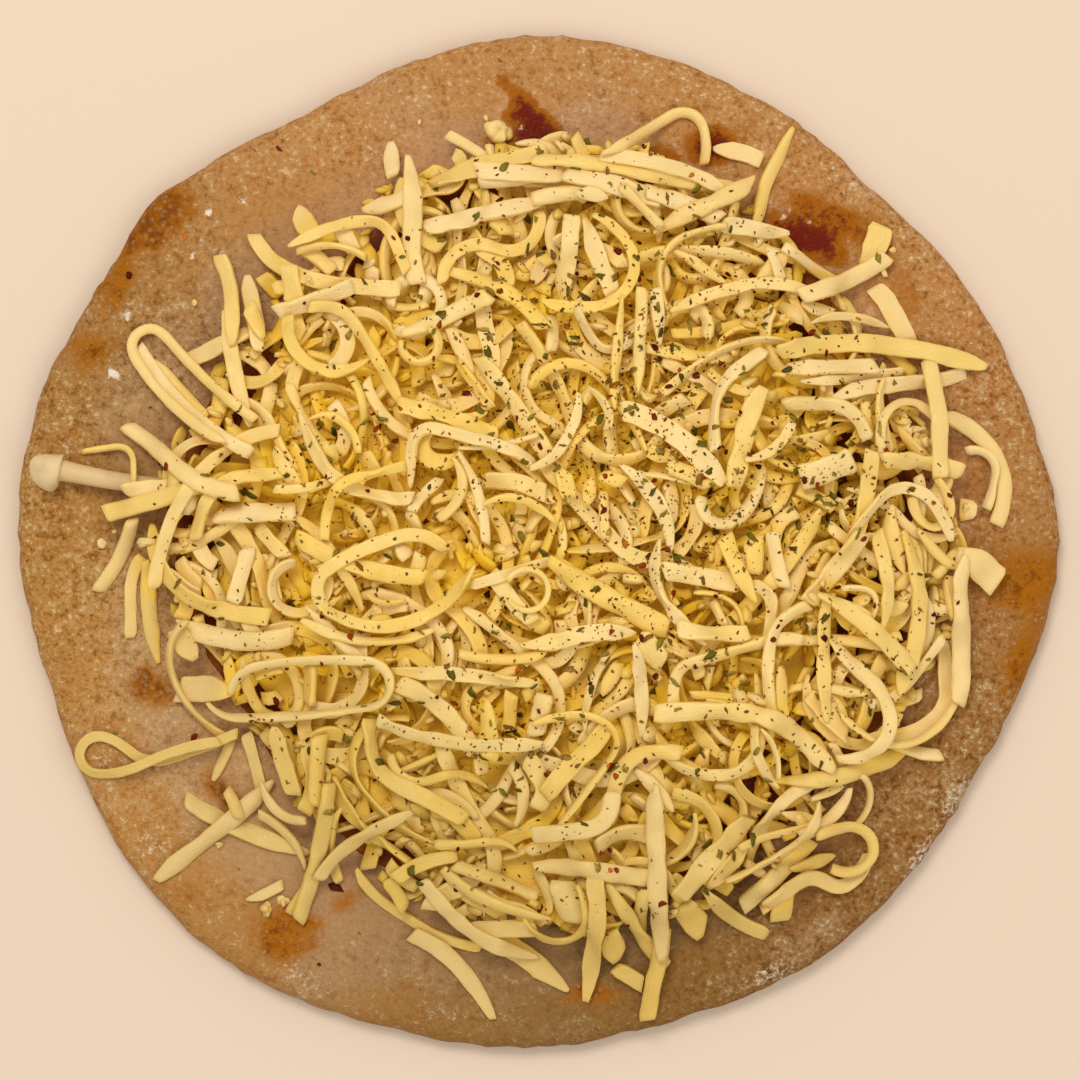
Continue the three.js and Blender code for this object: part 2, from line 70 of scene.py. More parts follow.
def clouds(x, y, size, seed):
    # cloud at three sizes, each half the one before and turned, between about 0 and 1
    total, weight = 0.0, 0.25
    for layer in range(3):
        total = total + weight * cloud(x, y, size, seed + layer)
        x, y = 0.8 * x - 0.6 * y, 0.6 * x + 0.8 * y
        size, weight = size / 2, weight * 0.6
    return 0.5 + total


def radiusAt(radii, angle):
    # a smooth closed outline through radii at even angles from +X, anticlockwise
    radii = np.asarray(radii, float)
    turn = np.asarray(angle) / fullTurn * len(radii)
    first = np.floor(turn).astype(int)
    share = turn - first
    before, here, after, later = (radii[(first + step) % len(radii)] for step in (-1, 0, 1, 2))
    slope, laterSlope, rise = (after - before) / 2, (later - here) / 2, after - here
    return here + share * (slope + share * (3 * rise - 2 * slope - laterSlope
                                            + share * (slope + laterSlope - 2 * rise)))


def lathe(profile, steps):
    # spins (radius, height) points round Z, from the underside's middle to the top's
    bm = bmesh.new()
    points = [bm.verts.new((radius, 0, height)) for radius, height in profile]
    edges = [bm.edges.new(pair) for pair in zip(points, points[1:])]
    bmesh.ops.spin(bm, geom=points + edges, cent=(0, 0, 0), axis=(0, 0, 1), angle=fullTurn,
                   steps=steps, use_merge=True, use_duplicate=False)
    bmesh.ops.remove_doubles(bm, verts=bm.verts, dist=weldWithin)
    bmesh.ops.recalc_face_normals(bm, faces=bm.faces)
    return bm


def unitLathe(profile, steps, name):
    # a disc whose radii are shares, to be drawn out to an uneven outline
    return toMesh(lathe([(unitRadius * share, height) for share, height in profile], steps), name)


def toMesh(bm, name):
    mesh = bpy.data.meshes.new(name)
    bm.to_mesh(mesh)
    bm.free()
    return mesh


def points(mesh):
    flat = np.empty(len(mesh.vertices) * 3, np.float32)
    mesh.vertices.foreach_get("co", flat)
    return flat.reshape(-1, 3).astype(float)


def setPoints(mesh, places):
    mesh.vertices.foreach_set("co", np.ascontiguousarray(places, np.float32).ravel())
    mesh.update()


def setAttribute(mesh, name, values):
    kind = "FLOAT_VECTOR" if np.ndim(values) == 2 else "FLOAT"
    layer = mesh.attributes.new(name, kind, "POINT")
    layer.data.foreach_set("vector" if kind == "FLOAT_VECTOR" else "value",
                           np.ravel(values).astype(np.float32))


def addPiece(name, mesh, material, node):
    # brings a mesh in millimetres into the frame, riding on the one body there is
    mesh.transform(Matrix.Scale(mm, 4))
    mesh.name = name
    for face in mesh.polygons:
        face.use_smooth = True
    piece = bpy.data.objects.new(name, mesh)
    bpy.context.scene.collection.objects.link(piece)
    mesh.materials.append(material)
    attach(piece, "root")
    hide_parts(node)
    return piece


# Shader maths.

class Wire:
    # a socket, with the sums that are done on it

    def __init__(self, tree, socket=None):
        self.tree = tree
        self.socket = socket

    def node(self, kind, settings=None, sockets=None, out=0):
        made = self.tree.nodes.new("ShaderNode" + kind)
        for name, value in (settings or {}).items():
            if name == "stops":
                ramp = made.color_ramp
                for place, colour in value[len(ramp.elements):]:
                    ramp.elements.new(place)
                for element, (place, colour) in zip(ramp.elements, value):
                    element.position = place
                    element.color = (*colour, 1)
            else:
                setattr(made, name, value)
        for name, value in (sockets or {}).items():
            target = made.inputs[name]
            if isinstance(value, Wire):
                self.tree.links.new(value.socket, target)
            else:
                target.default_value = value
        return Wire(self.tree, made.outputs[out])

    def sum(self, operation, first, second):
        return self.node("Math", {"operation": operation}, {0: first, 1: second})

    def __add__(self, other):
        return self.sum("ADD", self, other)

    __radd__ = __add__

    def __sub__(self, other):
        return self.sum("SUBTRACT", self, other)

    def __rsub__(self, other):
        return self.sum("SUBTRACT", other, self)

    def __mul__(self, other):
        return self.sum("MULTIPLY", self, other)

    __rmul__ = __mul__

    def above(self, low, high):
        # 0 below low, 1 above high, eased between
        return self.node("MapRange", {"interpolation_type": "SMOOTHSTEP"},
                         {"Value": self, "From Min": low, "From Max": high})

    def blend(self, first, second):
        # first where this is 0, second where it is 1
        colours = [value if isinstance(value, Wire) else (*value, 1) for value in (first, second)]
        return self.node("Mix", {"data_type": "RGBA"}, {0: self, 6: colours[0], 7: colours[1]}, 2)

    def scaled(self, factors):
        return self.node("VectorMath", {"operation": "MULTIPLY"}, {0: self, 1: factors})


def startMaterial(name, **fixed):
    material = bpy.data.materials.new(name)
    material.use_nodes = True
    tree = material.node_tree
    shader = tree.nodes["Principled BSDF"]
    for socket, value in fixed.items():
        shader.inputs[socket.replace("_", " ")].default_value = value
    start = Wire(tree)
    place = start.node("TexCoord", out=3)
    return material, start, place, shader


def feed(shader, socket, wire):
    wire.tree.links.new(wire.socket, shader.inputs[socket])


def speckle(place, perMetre, detail, rough=0.5):
    return place.node("TexNoise", {}, {"Vector": place, "Scale": perMetre, "Detail": detail,
                                       "Roughness": rough})


def attribute(start, name, out=2):
    return start.node("Attribute", {"attribute_name": name}, out=out)


def bump(height, distance, strength):
    return height.node("Bump", {}, {"Height": height, "Distance": distance, "Strength": strength})


# The base.

crust = {
    "thickness": 8.0,
    "radii": [129.6, 126.1, 124.2, 120.9, 122.9, 124.4, 126.4, 123.7, 121.8, 126.2, 127.6, 130,
              130, 127.9, 129.2, 131, 129.9, 127.1, 126.6, 124.2, 125.4, 124.9, 123.6, 126.2],
    "corner": (139.5, 4, 2.4),  # degrees, spread and height of the pinched spot in the edge
    "centreY": -0.25,
    "edgeUnder": (4.8, 0.46),  # how far the round edge reaches in below, and its share of the height
    "edgeOver": (5.0, 0.54),
    "edgeBand": 24.0,  # rings this near the edge follow it at their own distance
    "edgeTurn": 9,  # degrees between the rings of the round edge
    "steps": 420,
    "ringApart": 1.5,
    "underRingApart": 4,
    "wobble": (0.35, 60, 1.5, 5),  # small unevenness of the edge: height, steps in a radian, sizes
    "ripple": (0.18, 0.84, 0.96, 9, 23, 30),  # height, shares of the radius it grows in between, waves
    "rim": (0.8, 0.93),  # shares of the radius between which the rim starts
    "grain": (0.2, 0.35),  # height of the lumps, and their share of it inside the rim
    "lumps": [(0.5, 6, 7), (0.35, 2.6, 8), (0.3, 1.6, 9)],  # weight, size and seed
    "topSide": (0.35, 0.7),  # shares of the height between which the marks of the top begin
    "underSide": (0.02, 0.5),
    "wander": (2.2, 5),  # how far the edges of the spots stray, and over what length
    "broadSize": 45,
    "patchSize": 13,
    "mottle": (330, 4, 0.7),  # of a noise: how often in a metre, detail and roughness
    "fine": (950, 2, 0.7),
    "grainOften": 640,
    "bump": (0.0006, 0.75),  # metres and strength
    # by direction, from +X anticlockwise
    "lightness": [1.05, 1.24, 1.3, 1.3, 1.3, 1.05, 1.15, 1.27, 1.08, 0.72, 0.71, 0.84],
    "blueness": [0.97, 1.0, 1.04, 1.08, 1.06, 0.97, 0.82, 0.92, 0.95, 0.82, 0.82, 0.88],
    "contrast": [1.1, 1.15, 1.0, 0.85, 0.9, 1.1, 1.2, 0.75, 0.6, 0.6, 1.05, 1.35],
    "tan": (0.385, 0.186, 0.054),
    "greyTan": (0.39, 0.222, 0.105),
    "redTan": (0.4, 0.178, 0.054),
    "floury": (0.56, 0.35, 0.155),
    "golden": (0.37, 0.122, 0.002),
    "deepGolden": (0.2, 0.05, 0.0),
    "sauceRed": (0.15, 0.007, 0.0),
    "sauceOrange": (0.36, 0.11, 0.001),
    "side": (0.24, 0.125, 0.055),
    "shade": (0.58, 0.48, 0.36),  # what the darker mottling leaves of a colour
    "grainy": (0.6, 0.415, 0.225),
    "pale": (0.6, 0.43, 0.25),
    # flour, and the painted highlights on the wet sauce stains
    "flour": (0.86, 0.76, 0.62),
}
crustMasks = {  # weights of mottle, fine, grain and patches, then where the mask begins and ends
    "dark": (-3.5, -3, 0, 0, 0, 1.1),
    "light": (3, 3.5, 0, 1.5, 0, 1.2),
    "grains": (2.6, 3.2, -1.5, 0, 0.05, 0.95),
    "cracks": (-2, -3, 2, 0, 0.1, 1.0),
    "pale": (2.4, 0.8, 0, 1.4, 0.1, 1.3),
    "baked": (0.9, 0, 0, 0.8, 0.22, 0.85),
    "deepBaked": (2, 1, 0, 1.5, 0.62, 1.4),
    "blisters": (0, 1.5, -1.6, 1, 0.1, 0.8),
    "soaked": (0.7, 0, 0, 0.8, 0.28, 0.55),
    "red": (1.8, 1, 0, 1.6, 0.55, 1.2),
    # flour, and the painted highlights on the wet sauce stains
    "flour": (0, 1.4, 0, 0, 0.45, 1.0),
}
blisters = [  # x, y, radius and height of the raised brown spots
    [-99, 76, 11, 0.7], [-112, 47, 7, 0.5], [-117, -30, 7, 0.4], [-66, -98, 9, 0.6], [119, -14, 9, 0.6],
    [116, -32, 7, 0.4], [14, -115.5, 7, 0.5], [-35, 113, 7, 0.4], [62, 101, 6, 0.4], [84, 83, 7, 0.4],
]
browned = [  # x, y, half length, half width, degrees, strength
    [-98, 78, 14, 6.5, 48, 1.1], [-105, 65, 8, 4.5, 62, 1.0], [-113, 47, 9, 6, 15, 0.9],
    [-118, 26, 4, 3, 0, 0.35], [-118, 8, 5, 6, 0, 0.4], [-97, -37, 5, 5, 0, 0.75],
    [-78, -64, 7, 4, 110, 0.95], [-63, -98, 10, 8, 0, 1.0], [-48, -89, 7, 4, 30, 0.85],
    [-90, -88, 8, 5, 40, 0.55], [-83, -82, 5, 4, 0, 0.45], [-117, -30, 5, 8, 0, 0.3],
    [-113, -52, 4, 5, 0, 0.3], [-38, 111, 7, 4, 0, 0.3], [-52, 84, 8, 5, 0, 0.3], [-57, 92, 5, 4, 0, 0.25],
    [10, 112, 10, 5, 0, 0.3], [122, -10, 9, 12, 80, 1.1], [121, -27, 11, 5, 70, 1.0],
    [110, -2, 6, 8, 0, 0.35], [13, -114, 8, 3.5, 5, 0.8], [22, -108, 6, 4, 0, 0.35],
    [90, 63, 14, 5, 106, 0.75], [104, 42, 7, 5, 120, 0.3], [77, 78, 10, 6, 140, 0.7],
    [48, 103, 6, 3.5, 20, 0.65], [-55, -60, 8, 5, 20, 0.4], [64, -88, 8, 5, 30, 0.25],
    [98, -50, 6, 8, 0, 0.2], [-20, -116, 9, 3, 5, 0.25], [96, 84, 8, 3, 130, 0.25],
]
paleSpots = [  # as above, where the mottling is lightest
    [-95, -50, 9, 6, 60, 0.9], [70, -96, 12, 4, 28, 1.0], [0, -112, 9, 4, 0, 0.6], [-92, 57, 8, 6, 50, 0.5],
    [-104, -28, 6, 10, 0, 0.6], [-107, 12, 5, 8, 0, 0.5], [80, 87, 6, 4, 40, 0.8], [-84, -80, 5, 4, 0, 0.7],
    [104, -62, 8, 4, 60, 0.6], [-62, -109, 10, 3, -25, 0.7], [88, -80, 6, 3, 50, 0.8],
    [-99, -84, 5, 3, 50, 0.8], [108, 62, 7, 4, -50, 0.5], [110, 28, 5, 8, 0, 0.4],
    [-72, 88, 10, 4, 35, 0.6], [20, 113, 12, 4, 0, 0.4], [-22, -110, 9, 5, 0, 0.5],
    [-112, -60, 4, 9, 20, 0.6], [45, -110, 9, 3, 10, 0.6], [-110, 30, 4, 6, 0, 0.5],
]
sauceStains = [  # up to about 0.6 they are orange, and above it dark red
    [-4.5, 106.5, 7.5, 3.3, -62, 1.4], [0.5, 101.5, 6, 4.2, -40, 1.35], [-9, 98, 8, 3.5, 0, 0.6],
    [3.5, 99, 5.5, 3.5, 0, 0.62], [-6, 111, 5, 4, 0, 0.5], [0, 104, 8, 7, 0, 0.45],
    [42.5, 98.5, 5.5, 4.5, 20, 1.35], [29, 97, 5, 3.5, 0, 0.7], [31.5, 96, 2, 2, 0, 1.0],
    [66.5, 75.5, 9.5, 4.5, -28, 1.35], [70, 81, 14, 7, -32, 0.6], [59, 88, 5, 3.5, -30, 0.55],
    [-86, 2, 5, 12, 0, 0.4],
]
flourAndGlintSpots = [  # as above; the first five, on the sauce stains, are painted highlights of wet sauce, the rest flour
    [61.5, 82, 1.3, 0.8, 20, 0.85], [60, 80.6, 0.8, 0.6, 0, 0.8], [67, 79.5, 0.9, 0.4, 40, 0.75],
    [72, 77, 0.9, 0.4, 20, 0.7], [-4.5, 102.5, 0.6, 1.2, 20, 0.8], [-82.5, 82, 1.1, 0.8, 20, 1.6],
    [-74, 84, 1.3, 0.7, 0, 1.5], [-86, 71, 0.9, 0.7, 0, 1.4], [-79.5, 71.5, 0.7, 0.9, 0, 1.5],
    [-106.5, 41.5, 1.1, 1.1, 0, 1.8], [-118, 24, 1.6, 1.0, 0, 1.2], [-103, 56, 0.7, 1.6, 0, 1.4],
    [78, 88, 5, 3, 40, 0.55], [72, 93, 4, 3, 0, 0.5], [103, -65, 10, 4, 60, 0.6], [95, -80, 10, 4, 55, 0.7],
    [58, -108, 9, 4, 15, 0.6], [105, -52, 5, 6, 0, 0.4], [-92, 62, 4, 5, 0, 0.35],
    [-108, -55, 6, 9, 25, 0.5], [-97, -75, 8, 7, 40, 0.55], [-60, -108, 12, 4, -25, 0.5],
    [-25, -118, 12, 3, 0, 0.5],
]


def crustRadius(angle):
    corner, spread, height = crust["corner"]
    off = np.angle(np.exp(1j * (angle - math.radians(corner)))) / math.radians(spread)
    return radiusAt(crust["radii"], angle) + height * np.exp(-off * off)


def crustTop(x, y):
    height, start, end, coarse, fine, alongX = crust["ripple"]
    angle = np.arctan2(y, x)
    rim = smoothStep(start, end, np.hypot(x, y) / crustRadius(angle))
    waves = np.sin(coarse * angle) * np.sin(fullTurn * x / alongX) + np.sin(fine * angle)
    top = crust["thickness"] + rim * height * waves
    for spotX, spotY, radius, rise in blisters:
        top = top + rim * rise * np.exp(-((x - spotX) ** 2 + (y - spotY) ** 2) / radius ** 2)
    return top


def spots(table, x, y):
    # how strongly each point is inside any of the ellipses of a table
    strength, fade = np.zeros_like(x), 0.8
    for spotX, spotY, long, wide, degrees, weight in table:
        c, s = math.cos(math.radians(degrees)), math.sin(math.radians(degrees))
        along, across = (x - spotX) * c + (y - spotY) * s, (y - spotY) * c - (x - spotX) * s
        away = (along / long) ** 2 + (across / wide) ** 2
        strength = np.maximum(strength, weight * np.exp(-fade * away))
    return strength


def crustProfile():
    # radii, and heights as shares of the thickness
    nominal, apart, edgeTurn = crust["radii"][0], crust["ringApart"], crust["edgeTurn"]
    reach, share = crust["edgeUnder"]
    profile = [(radius, 0) for radius in np.arange(0, nominal - reach - 1, crust["underRingApart"])]
    for turn in np.radians(range(-90, 0, edgeTurn)):
        profile.append((nominal - reach * (1 - math.cos(turn)), share * (1 + math.sin(turn))))
    reach, rest = crust["edgeOver"]
    for turn in np.radians(range(0, 91, edgeTurn)):
        profile.append((nominal - reach * (1 - math.cos(turn)), share + rest * math.sin(turn)))
    profile += [(radius, 1) for radius in np.arange(nominal - reach - apart, 0, -apart)]
    return profile + [(0, 1)]


def makeCrust():
    mesh = toMesh(lathe(crustProfile(), crust["steps"]), "crust")

    # the rings move out to the outline, and each height is a share of the thickness there
    x, y, share = points(mesh).T
    angle, radius = np.arctan2(y, x), np.hypot(x, y)
    wobble, around, small, large = crust["wobble"]
    bumps = cloud(angle * around, share * 3, small, 5) + cloud(angle * around, 0, large, 6)
    outline = crustRadius(angle) + wobble * bumps
    nominal, band = crust["radii"][0], crust["edgeBand"]
    inset = nominal - radius
    distance = np.where(inset <= band, outline - inset, radius / (nominal - band) * (outline - band))
    x, y = distance * np.cos(angle), distance * np.sin(angle) + crust["centreY"]
    z = share * crustTop(x, y)
    rim = smoothStep(*crust["rim"], distance / outline)
    lumps = sum(weight * cloud(x, y, size, seed) for weight, size, seed in crust["lumps"])
    grain, inside = crust["grain"]
    z = z + (share > 0.5) * grain * (inside + rim) * lumps
    setPoints(mesh, np.stack([x, y, np.maximum(z, 0)], 1))

    wander, over = crust["wander"]
    strayX, strayY = wander * cloud(x, y, over, 11), wander * cloud(x, y, over, 12)
    topSide = smoothStep(*crust["topSide"], share)
    for name, table, stray in (("browned", browned, 1), ("stained", sauceStains, 1),
                               ("pale", paleSpots, 1), ("floured", flourAndGlintSpots, 0.3)):
        setAttribute(mesh, name, spots(table, x + stray * strayX, y + stray * strayY) * topSide)
    setAttribute(mesh, "rim", rim)
    setAttribute(mesh, "under", 1 - smoothStep(*crust["underSide"], share))
    setAttribute(mesh, "broad", clouds(x, y, crust["broadSize"], 13))
    setAttribute(mesh, "patches", clouds(x, y, crust["patchSize"], 16))
    lightness, blueness = radiusAt(crust["lightness"], angle), radiusAt(crust["blueness"], angle)
    setAttribute(mesh, "tint", np.stack([lightness, lightness, lightness * blueness], 1))
    setAttribute(mesh, "contrast", radiusAt(crust["contrast"], angle))
    return mesh


def crustMask(name, noises, start=None):
    # start, moved by each noise as that row of the table says
    *weights, low, high = crustMasks[name]
    for noise, weight in zip(noises, weights):
        if weight:
            shift = (noise - 0.5) * weight
            start = start + shift if start else shift
    return start.above(low, high)


def crustMaterial():
    material, start, place, shader = startMaterial("bakedCrust", IOR=1.45, Specular_IOR_Level=0.07,
                                                   Coat_Roughness=0.12)
    mottle, fine = speckle(place, *crust["mottle"]), speckle(place, *crust["fine"])
    grain = start.node("TexVoronoi", {"feature": "F1"}, {"Vector": place, "Scale": crust["grainOften"]})
    broad, patches, rim, under = (attribute(start, name) for name in ("broad", "patches", "rim", "under"))
    contrast = attribute(start, "contrast")
    noises = mottle, fine, grain, patches
    side = start.node("SeparateXYZ", {}, {0: place}, 0)
    grainy = (patches * 1.6 + rim * 0.6 - 0.4).above(0.15, 0.95)
    dark, light, grains, cracks = (crustMask(name, noises)
                                   for name in ("dark", "light", "grains", "cracks"))

    # dough
    ground = (1.1 * broad - rim * 0.35).above(0.2, 0.6).blend(crust["tan"], crust["greyTan"])
    ground = (side * 9 + (broad - 0.5) * 2).above(0.15, 1.3).blend(ground, crust["redTan"])
    ground = (under * 0.75).blend(ground, crust["side"])
    ground = (dark * contrast * 0.7).blend(ground, ground.scaled(crust["shade"]))
    ground = (light * contrast * 0.5).blend(ground, crust["floury"])
    ground = (grains * contrast * (0.12 + grainy * 0.6)).blend(ground, crust["grainy"])
    ground = (cracks * contrast * (0.2 + grainy * 0.4)).blend(ground, ground.scaled(crust["shade"]))
    ground = ground.scaled(attribute(start, "tint", 1))
    pale = crustMask("pale", noises, attribute(start, "pale"))
    ground = (pale * (0.25 + grains * 0.6)).blend(ground, crust["pale"])

    # browned patches, sauce stains, flour and painted highlights on the wet sauce
    brownShare, stain, flour = (attribute(start, name) for name in ("browned", "stained", "floured"))
    baked = crustMask("baked", noises, brownShare)
    gold = crustMask("deepBaked", noises, brownShare).blend(crust["golden"], crust["deepGolden"])
    gold = (crustMask("blisters", noises) * 0.4).blend(gold, crust["floury"])
    ground = (baked * 0.97).blend(ground, gold)
    soaked = crustMask("soaked", noises, stain)
    red = crustMask("red", noises, stain).blend(crust["sauceOrange"], crust["sauceRed"])
    ground = (soaked * 0.98).blend(ground, red)
    # flour, and painted highlights on the wet sauce
    ground = crustMask("flour", noises, flour).blend(ground, crust["flour"])
    feed(shader, "Base Color", ground)
    feed(shader, "Roughness", 0.55 - baked * 0.15 - soaked * 0.2 + (fine - 0.5) * 0.5)
    feed(shader, "Coat Weight", soaked * (fine + mottle - 1).above(0.02, 0.2) * 0.45)
    feed(shader, "Normal", bump(grains * grainy * 0.5 + mottle * 1.6 + fine * 0.8, *crust["bump"]))
    return material


addPiece("pizza_crust", makeCrust(), crustMaterial(), "pizza_base")
print("base done")


# The sauce.

sauce = {
    "thickness": 1.0,
    "ragged": (1.4, 60, 3),  # how uneven its edge is, steps in a radian, and size
    "thinner": 0.75,  # how much of the thickness goes towards the edge
    "waves": [(0.25, 7, 22), (0.15, 2.5, 23)],  # weight, size and seed
    "settled": 0.2,
    "sunk": 0.1,  # into the base, so that no gap shows
    "radii": [98, 95, 91, 94, 91, 93, 94, 92, 88, 83, 86, 91,
              92, 88, 84, 86, 90, 91, 93, 95, 95, 93, 95, 98],
    "steps": 300,
    "colour": (0.14, 0.022, 0.001),
    "thin": (0.3, 0.085, 0.006),
    "pulp": (0.24, 0.05, 0.003),
    "often": (420, 3, 0.6),
    "bump": (0.0006, 0.6),
}
sauceFloor = crust["thickness"] + gap
heapFloor = sauceFloor + sauce["thickness"] + gap


def makeSauce():
    profile = [(0, 0), (0.5, 0), (0.985, 0), (1, 0.2), (0.995, 0.6), (0.98, 1)]
    profile += [(share, 1) for share in np.linspace(0.965, 0, 60)]
    mesh = unitLathe(profile, sauce["steps"], "sauce")
    x, y, share = points(mesh).T
    angle, radius = np.arctan2(y, x), np.hypot(x, y) / unitRadius
    ragged, around, size = sauce["ragged"]
    reach = radiusAt(sauce["radii"], angle) + ragged * cloud(angle * around, 0, size, 21)
    x, y = reach * radius * np.cos(angle), reach * radius * np.sin(angle)
    thick = sauce["thickness"] - sauce["thinner"] * smoothStep(0.93, 1, radius)
    waves = sum(weight * cloud(x, y, size, seed) for weight, size, seed in sauce["waves"])
    waves = waves - sauce["settled"]
    floor = crustTop(x, y) - sauce["sunk"]
    z = floor + share * (thick + gap + waves * (radius < 0.99))
    setPoints(mesh, np.stack([x, y, z], 1))
    setAttribute(mesh, "edge", smoothStep(0.9, 1, radius))
    return mesh


def sauceMaterial():
    material, start, place, shader = startMaterial("tomatoSauce", IOR=1.4, Specular_IOR_Level=0.12)
    pulp = speckle(place, *sauce["often"])
    thin = (attribute(start, "edge") + (pulp - 0.5) * 0.8).above(0.5, 1.3)
    red = thin.blend(sauce["colour"], sauce["thin"])
    feed(shader, "Base Color", (pulp.above(0.5, 0.7) * 0.5).blend(red, sauce["pulp"]))
    feed(shader, "Roughness", 0.2 + pulp * 0.25)
    feed(shader, "Normal", bump(pulp, *sauce["bump"]))
    return material


addPiece("sauce_layer", makeSauce(), sauceMaterial(), "tomato_sauce")
print("sauce done")


# The cheese: its core, then every shred laid on what is below it.

core = {
    "height": 4.2,
    "edgeHeight": 1.4,
    "radii": [77, 75, 75, 77, 83, 88, 88, 86, 81, 79, 83, 83,
              83, 85, 81, 79, 83, 89, 94, 92, 85, 79, 77, 77],
    "shrink": 0.96,
    "fullness": 2.2,
    "lumps": (1.5, [(0.6, 7, 41), (0.4, 3.4, 42)]),  # height, then weight, size and seed of each layer
    "steps": 200,
    "sunk": 0.3,
    "tone": 0.4,
}
shred = {
    "spacing": 0.5,  # between points of a middle line
    "easing": 8,  # rounds of smoothing between one arc and the next
    "bridging": 140,  # rounds of evening out: more of them carry a shred across wider gaps
    "sink": 0.4,  # share of its thickness by which a shred sinks into what is below
    "crossing": 0.2,
    "section": [(1, -0.45), (1, 0.45), (0.92, 0.8), (0.66, 0.98), (0, 1.12), (-0.66, 0.98),
                (-0.92, 0.8), (-1, 0.45), (-1, -0.45), (-0.92, -0.8), (-0.66, -0.98), (0, -1.1),
                (0.66, -0.98), (0.92, -0.8)],
    "ring": 1.1,  # between rings of the finished shred
    "twist": (32, 13, 3.6),  # degrees either way, over what length, and the widest that gets it in full
    "twistFrom": (8, 30),  # lengths of shred between which it starts to twist
    "quiver": 0.3,  # the share of the twist that a short one gets too
    "wavy": (0.2, 4),  # ups and downs, and over what length
    "edges": [(0.08, 8), (0.05, 2.2)],  # unevenness of each long edge, and over what length
    "thick": [(0.15, 6), (0.05, 1.5)],  # the same of the thickness
    "cup": (-0.2, 0.4),
    "bluntEnd": ((0.4, 1.6), (0.7, 0.96)),  # lengths of the taper, and what is left at the end
    "pointedEnd": ((3, 10), (0.12, 0.5)),
    "longestTaper": 0.35,  # as a share of the shred
    "taperCurve": 0.8,
    "endThickness": (0.35, 0.6),  # the least share, and how soon the end gets thin
    "offCentre": 0.8,
    "slant": (0.9, 1.2, 0.6),  # of the cut ends: most, how far in it reaches, and how strong it is
    "slim": 0.88,  # the widths below are those of the widest places
    "thickness": (2.3, 0.95, 0.24),  # of the shown ones: most, least, and what each mm of width adds
    "thicknessSpread": (0.8, 1.15),
    "blunt": 0.62,  # share of the shown ones' ends
    "longFrom": 34,
    "thinnest": (0.45, 0.95),  # thickness of the long edges as a share of the middle's
    "rolled": (30, 4),  # most degrees on to one edge, and the widest shown shred that gets it in full
    "steepest": 0.55,
    "conform": 25,  # a shred rolled over by less than this many degrees leans with what it lies on
    "leaning": (0.8, 12),  # how closely it leans, and rounds of evening that out
    "across": 0.45,  # between the points where the heap below it is felt
    "seed": 65,
}
# count, share of the heap's radius, lengths, widths, thicknesses, most bend, blunt share and seed
kinds = {
    "bits": (250, 1.0, (4, 11), (2.4, 4.8), (1.3, 2.4), 70, 0.95, 31),
    "short": (210, 0.98, (12, 26), (2.4, 4.8), (1.2, 2.0), 170, 0.8, 32),
    "strands": (460, 0.94, (24, 60), (2.2, 4.2), (1.1, 1.8), 340, 0.7, 33),
}
heap = {
    "radii": [102, 98, 95, 93, 97, 99, 98, 96, 92, 87, 88, 94,
              96, 89, 83, 86, 90, 93, 95, 98, 98, 95, 97, 102],
    "edgeHeight": 3.9,  # how high the hidden shreds may reach, at the edge and more in the middle
    "height": 6.2,
    "fullness": 2.2,
    "tries": 9,
    "settled": 0.5,  # share of its thickness by which a hidden shred sinks into what is below
    "rolls": [0, 0, 12, 24, 40, 60],  # degrees
    "outmost": 1.03,  # share of the radius that no hidden shred passes
}
heapLayers = [  # from the bottom up: the piece, the kind of shred, and the share of them
    ("bits", "bits", 0.6), ("short", "short", 0.6), ("low_strands", "strands", 0.38),
    ("bits", "bits", 0.4), ("short", "short", 0.4), ("top_strands", "strands", 0.62),
]
reachMap = {
    "half": 140,
    "cell": 0.5,
    "empty": -50,
    "overCrust": 0.25,
    "evened": 5,  # cells to each side over which the top of the heap is evened out
}

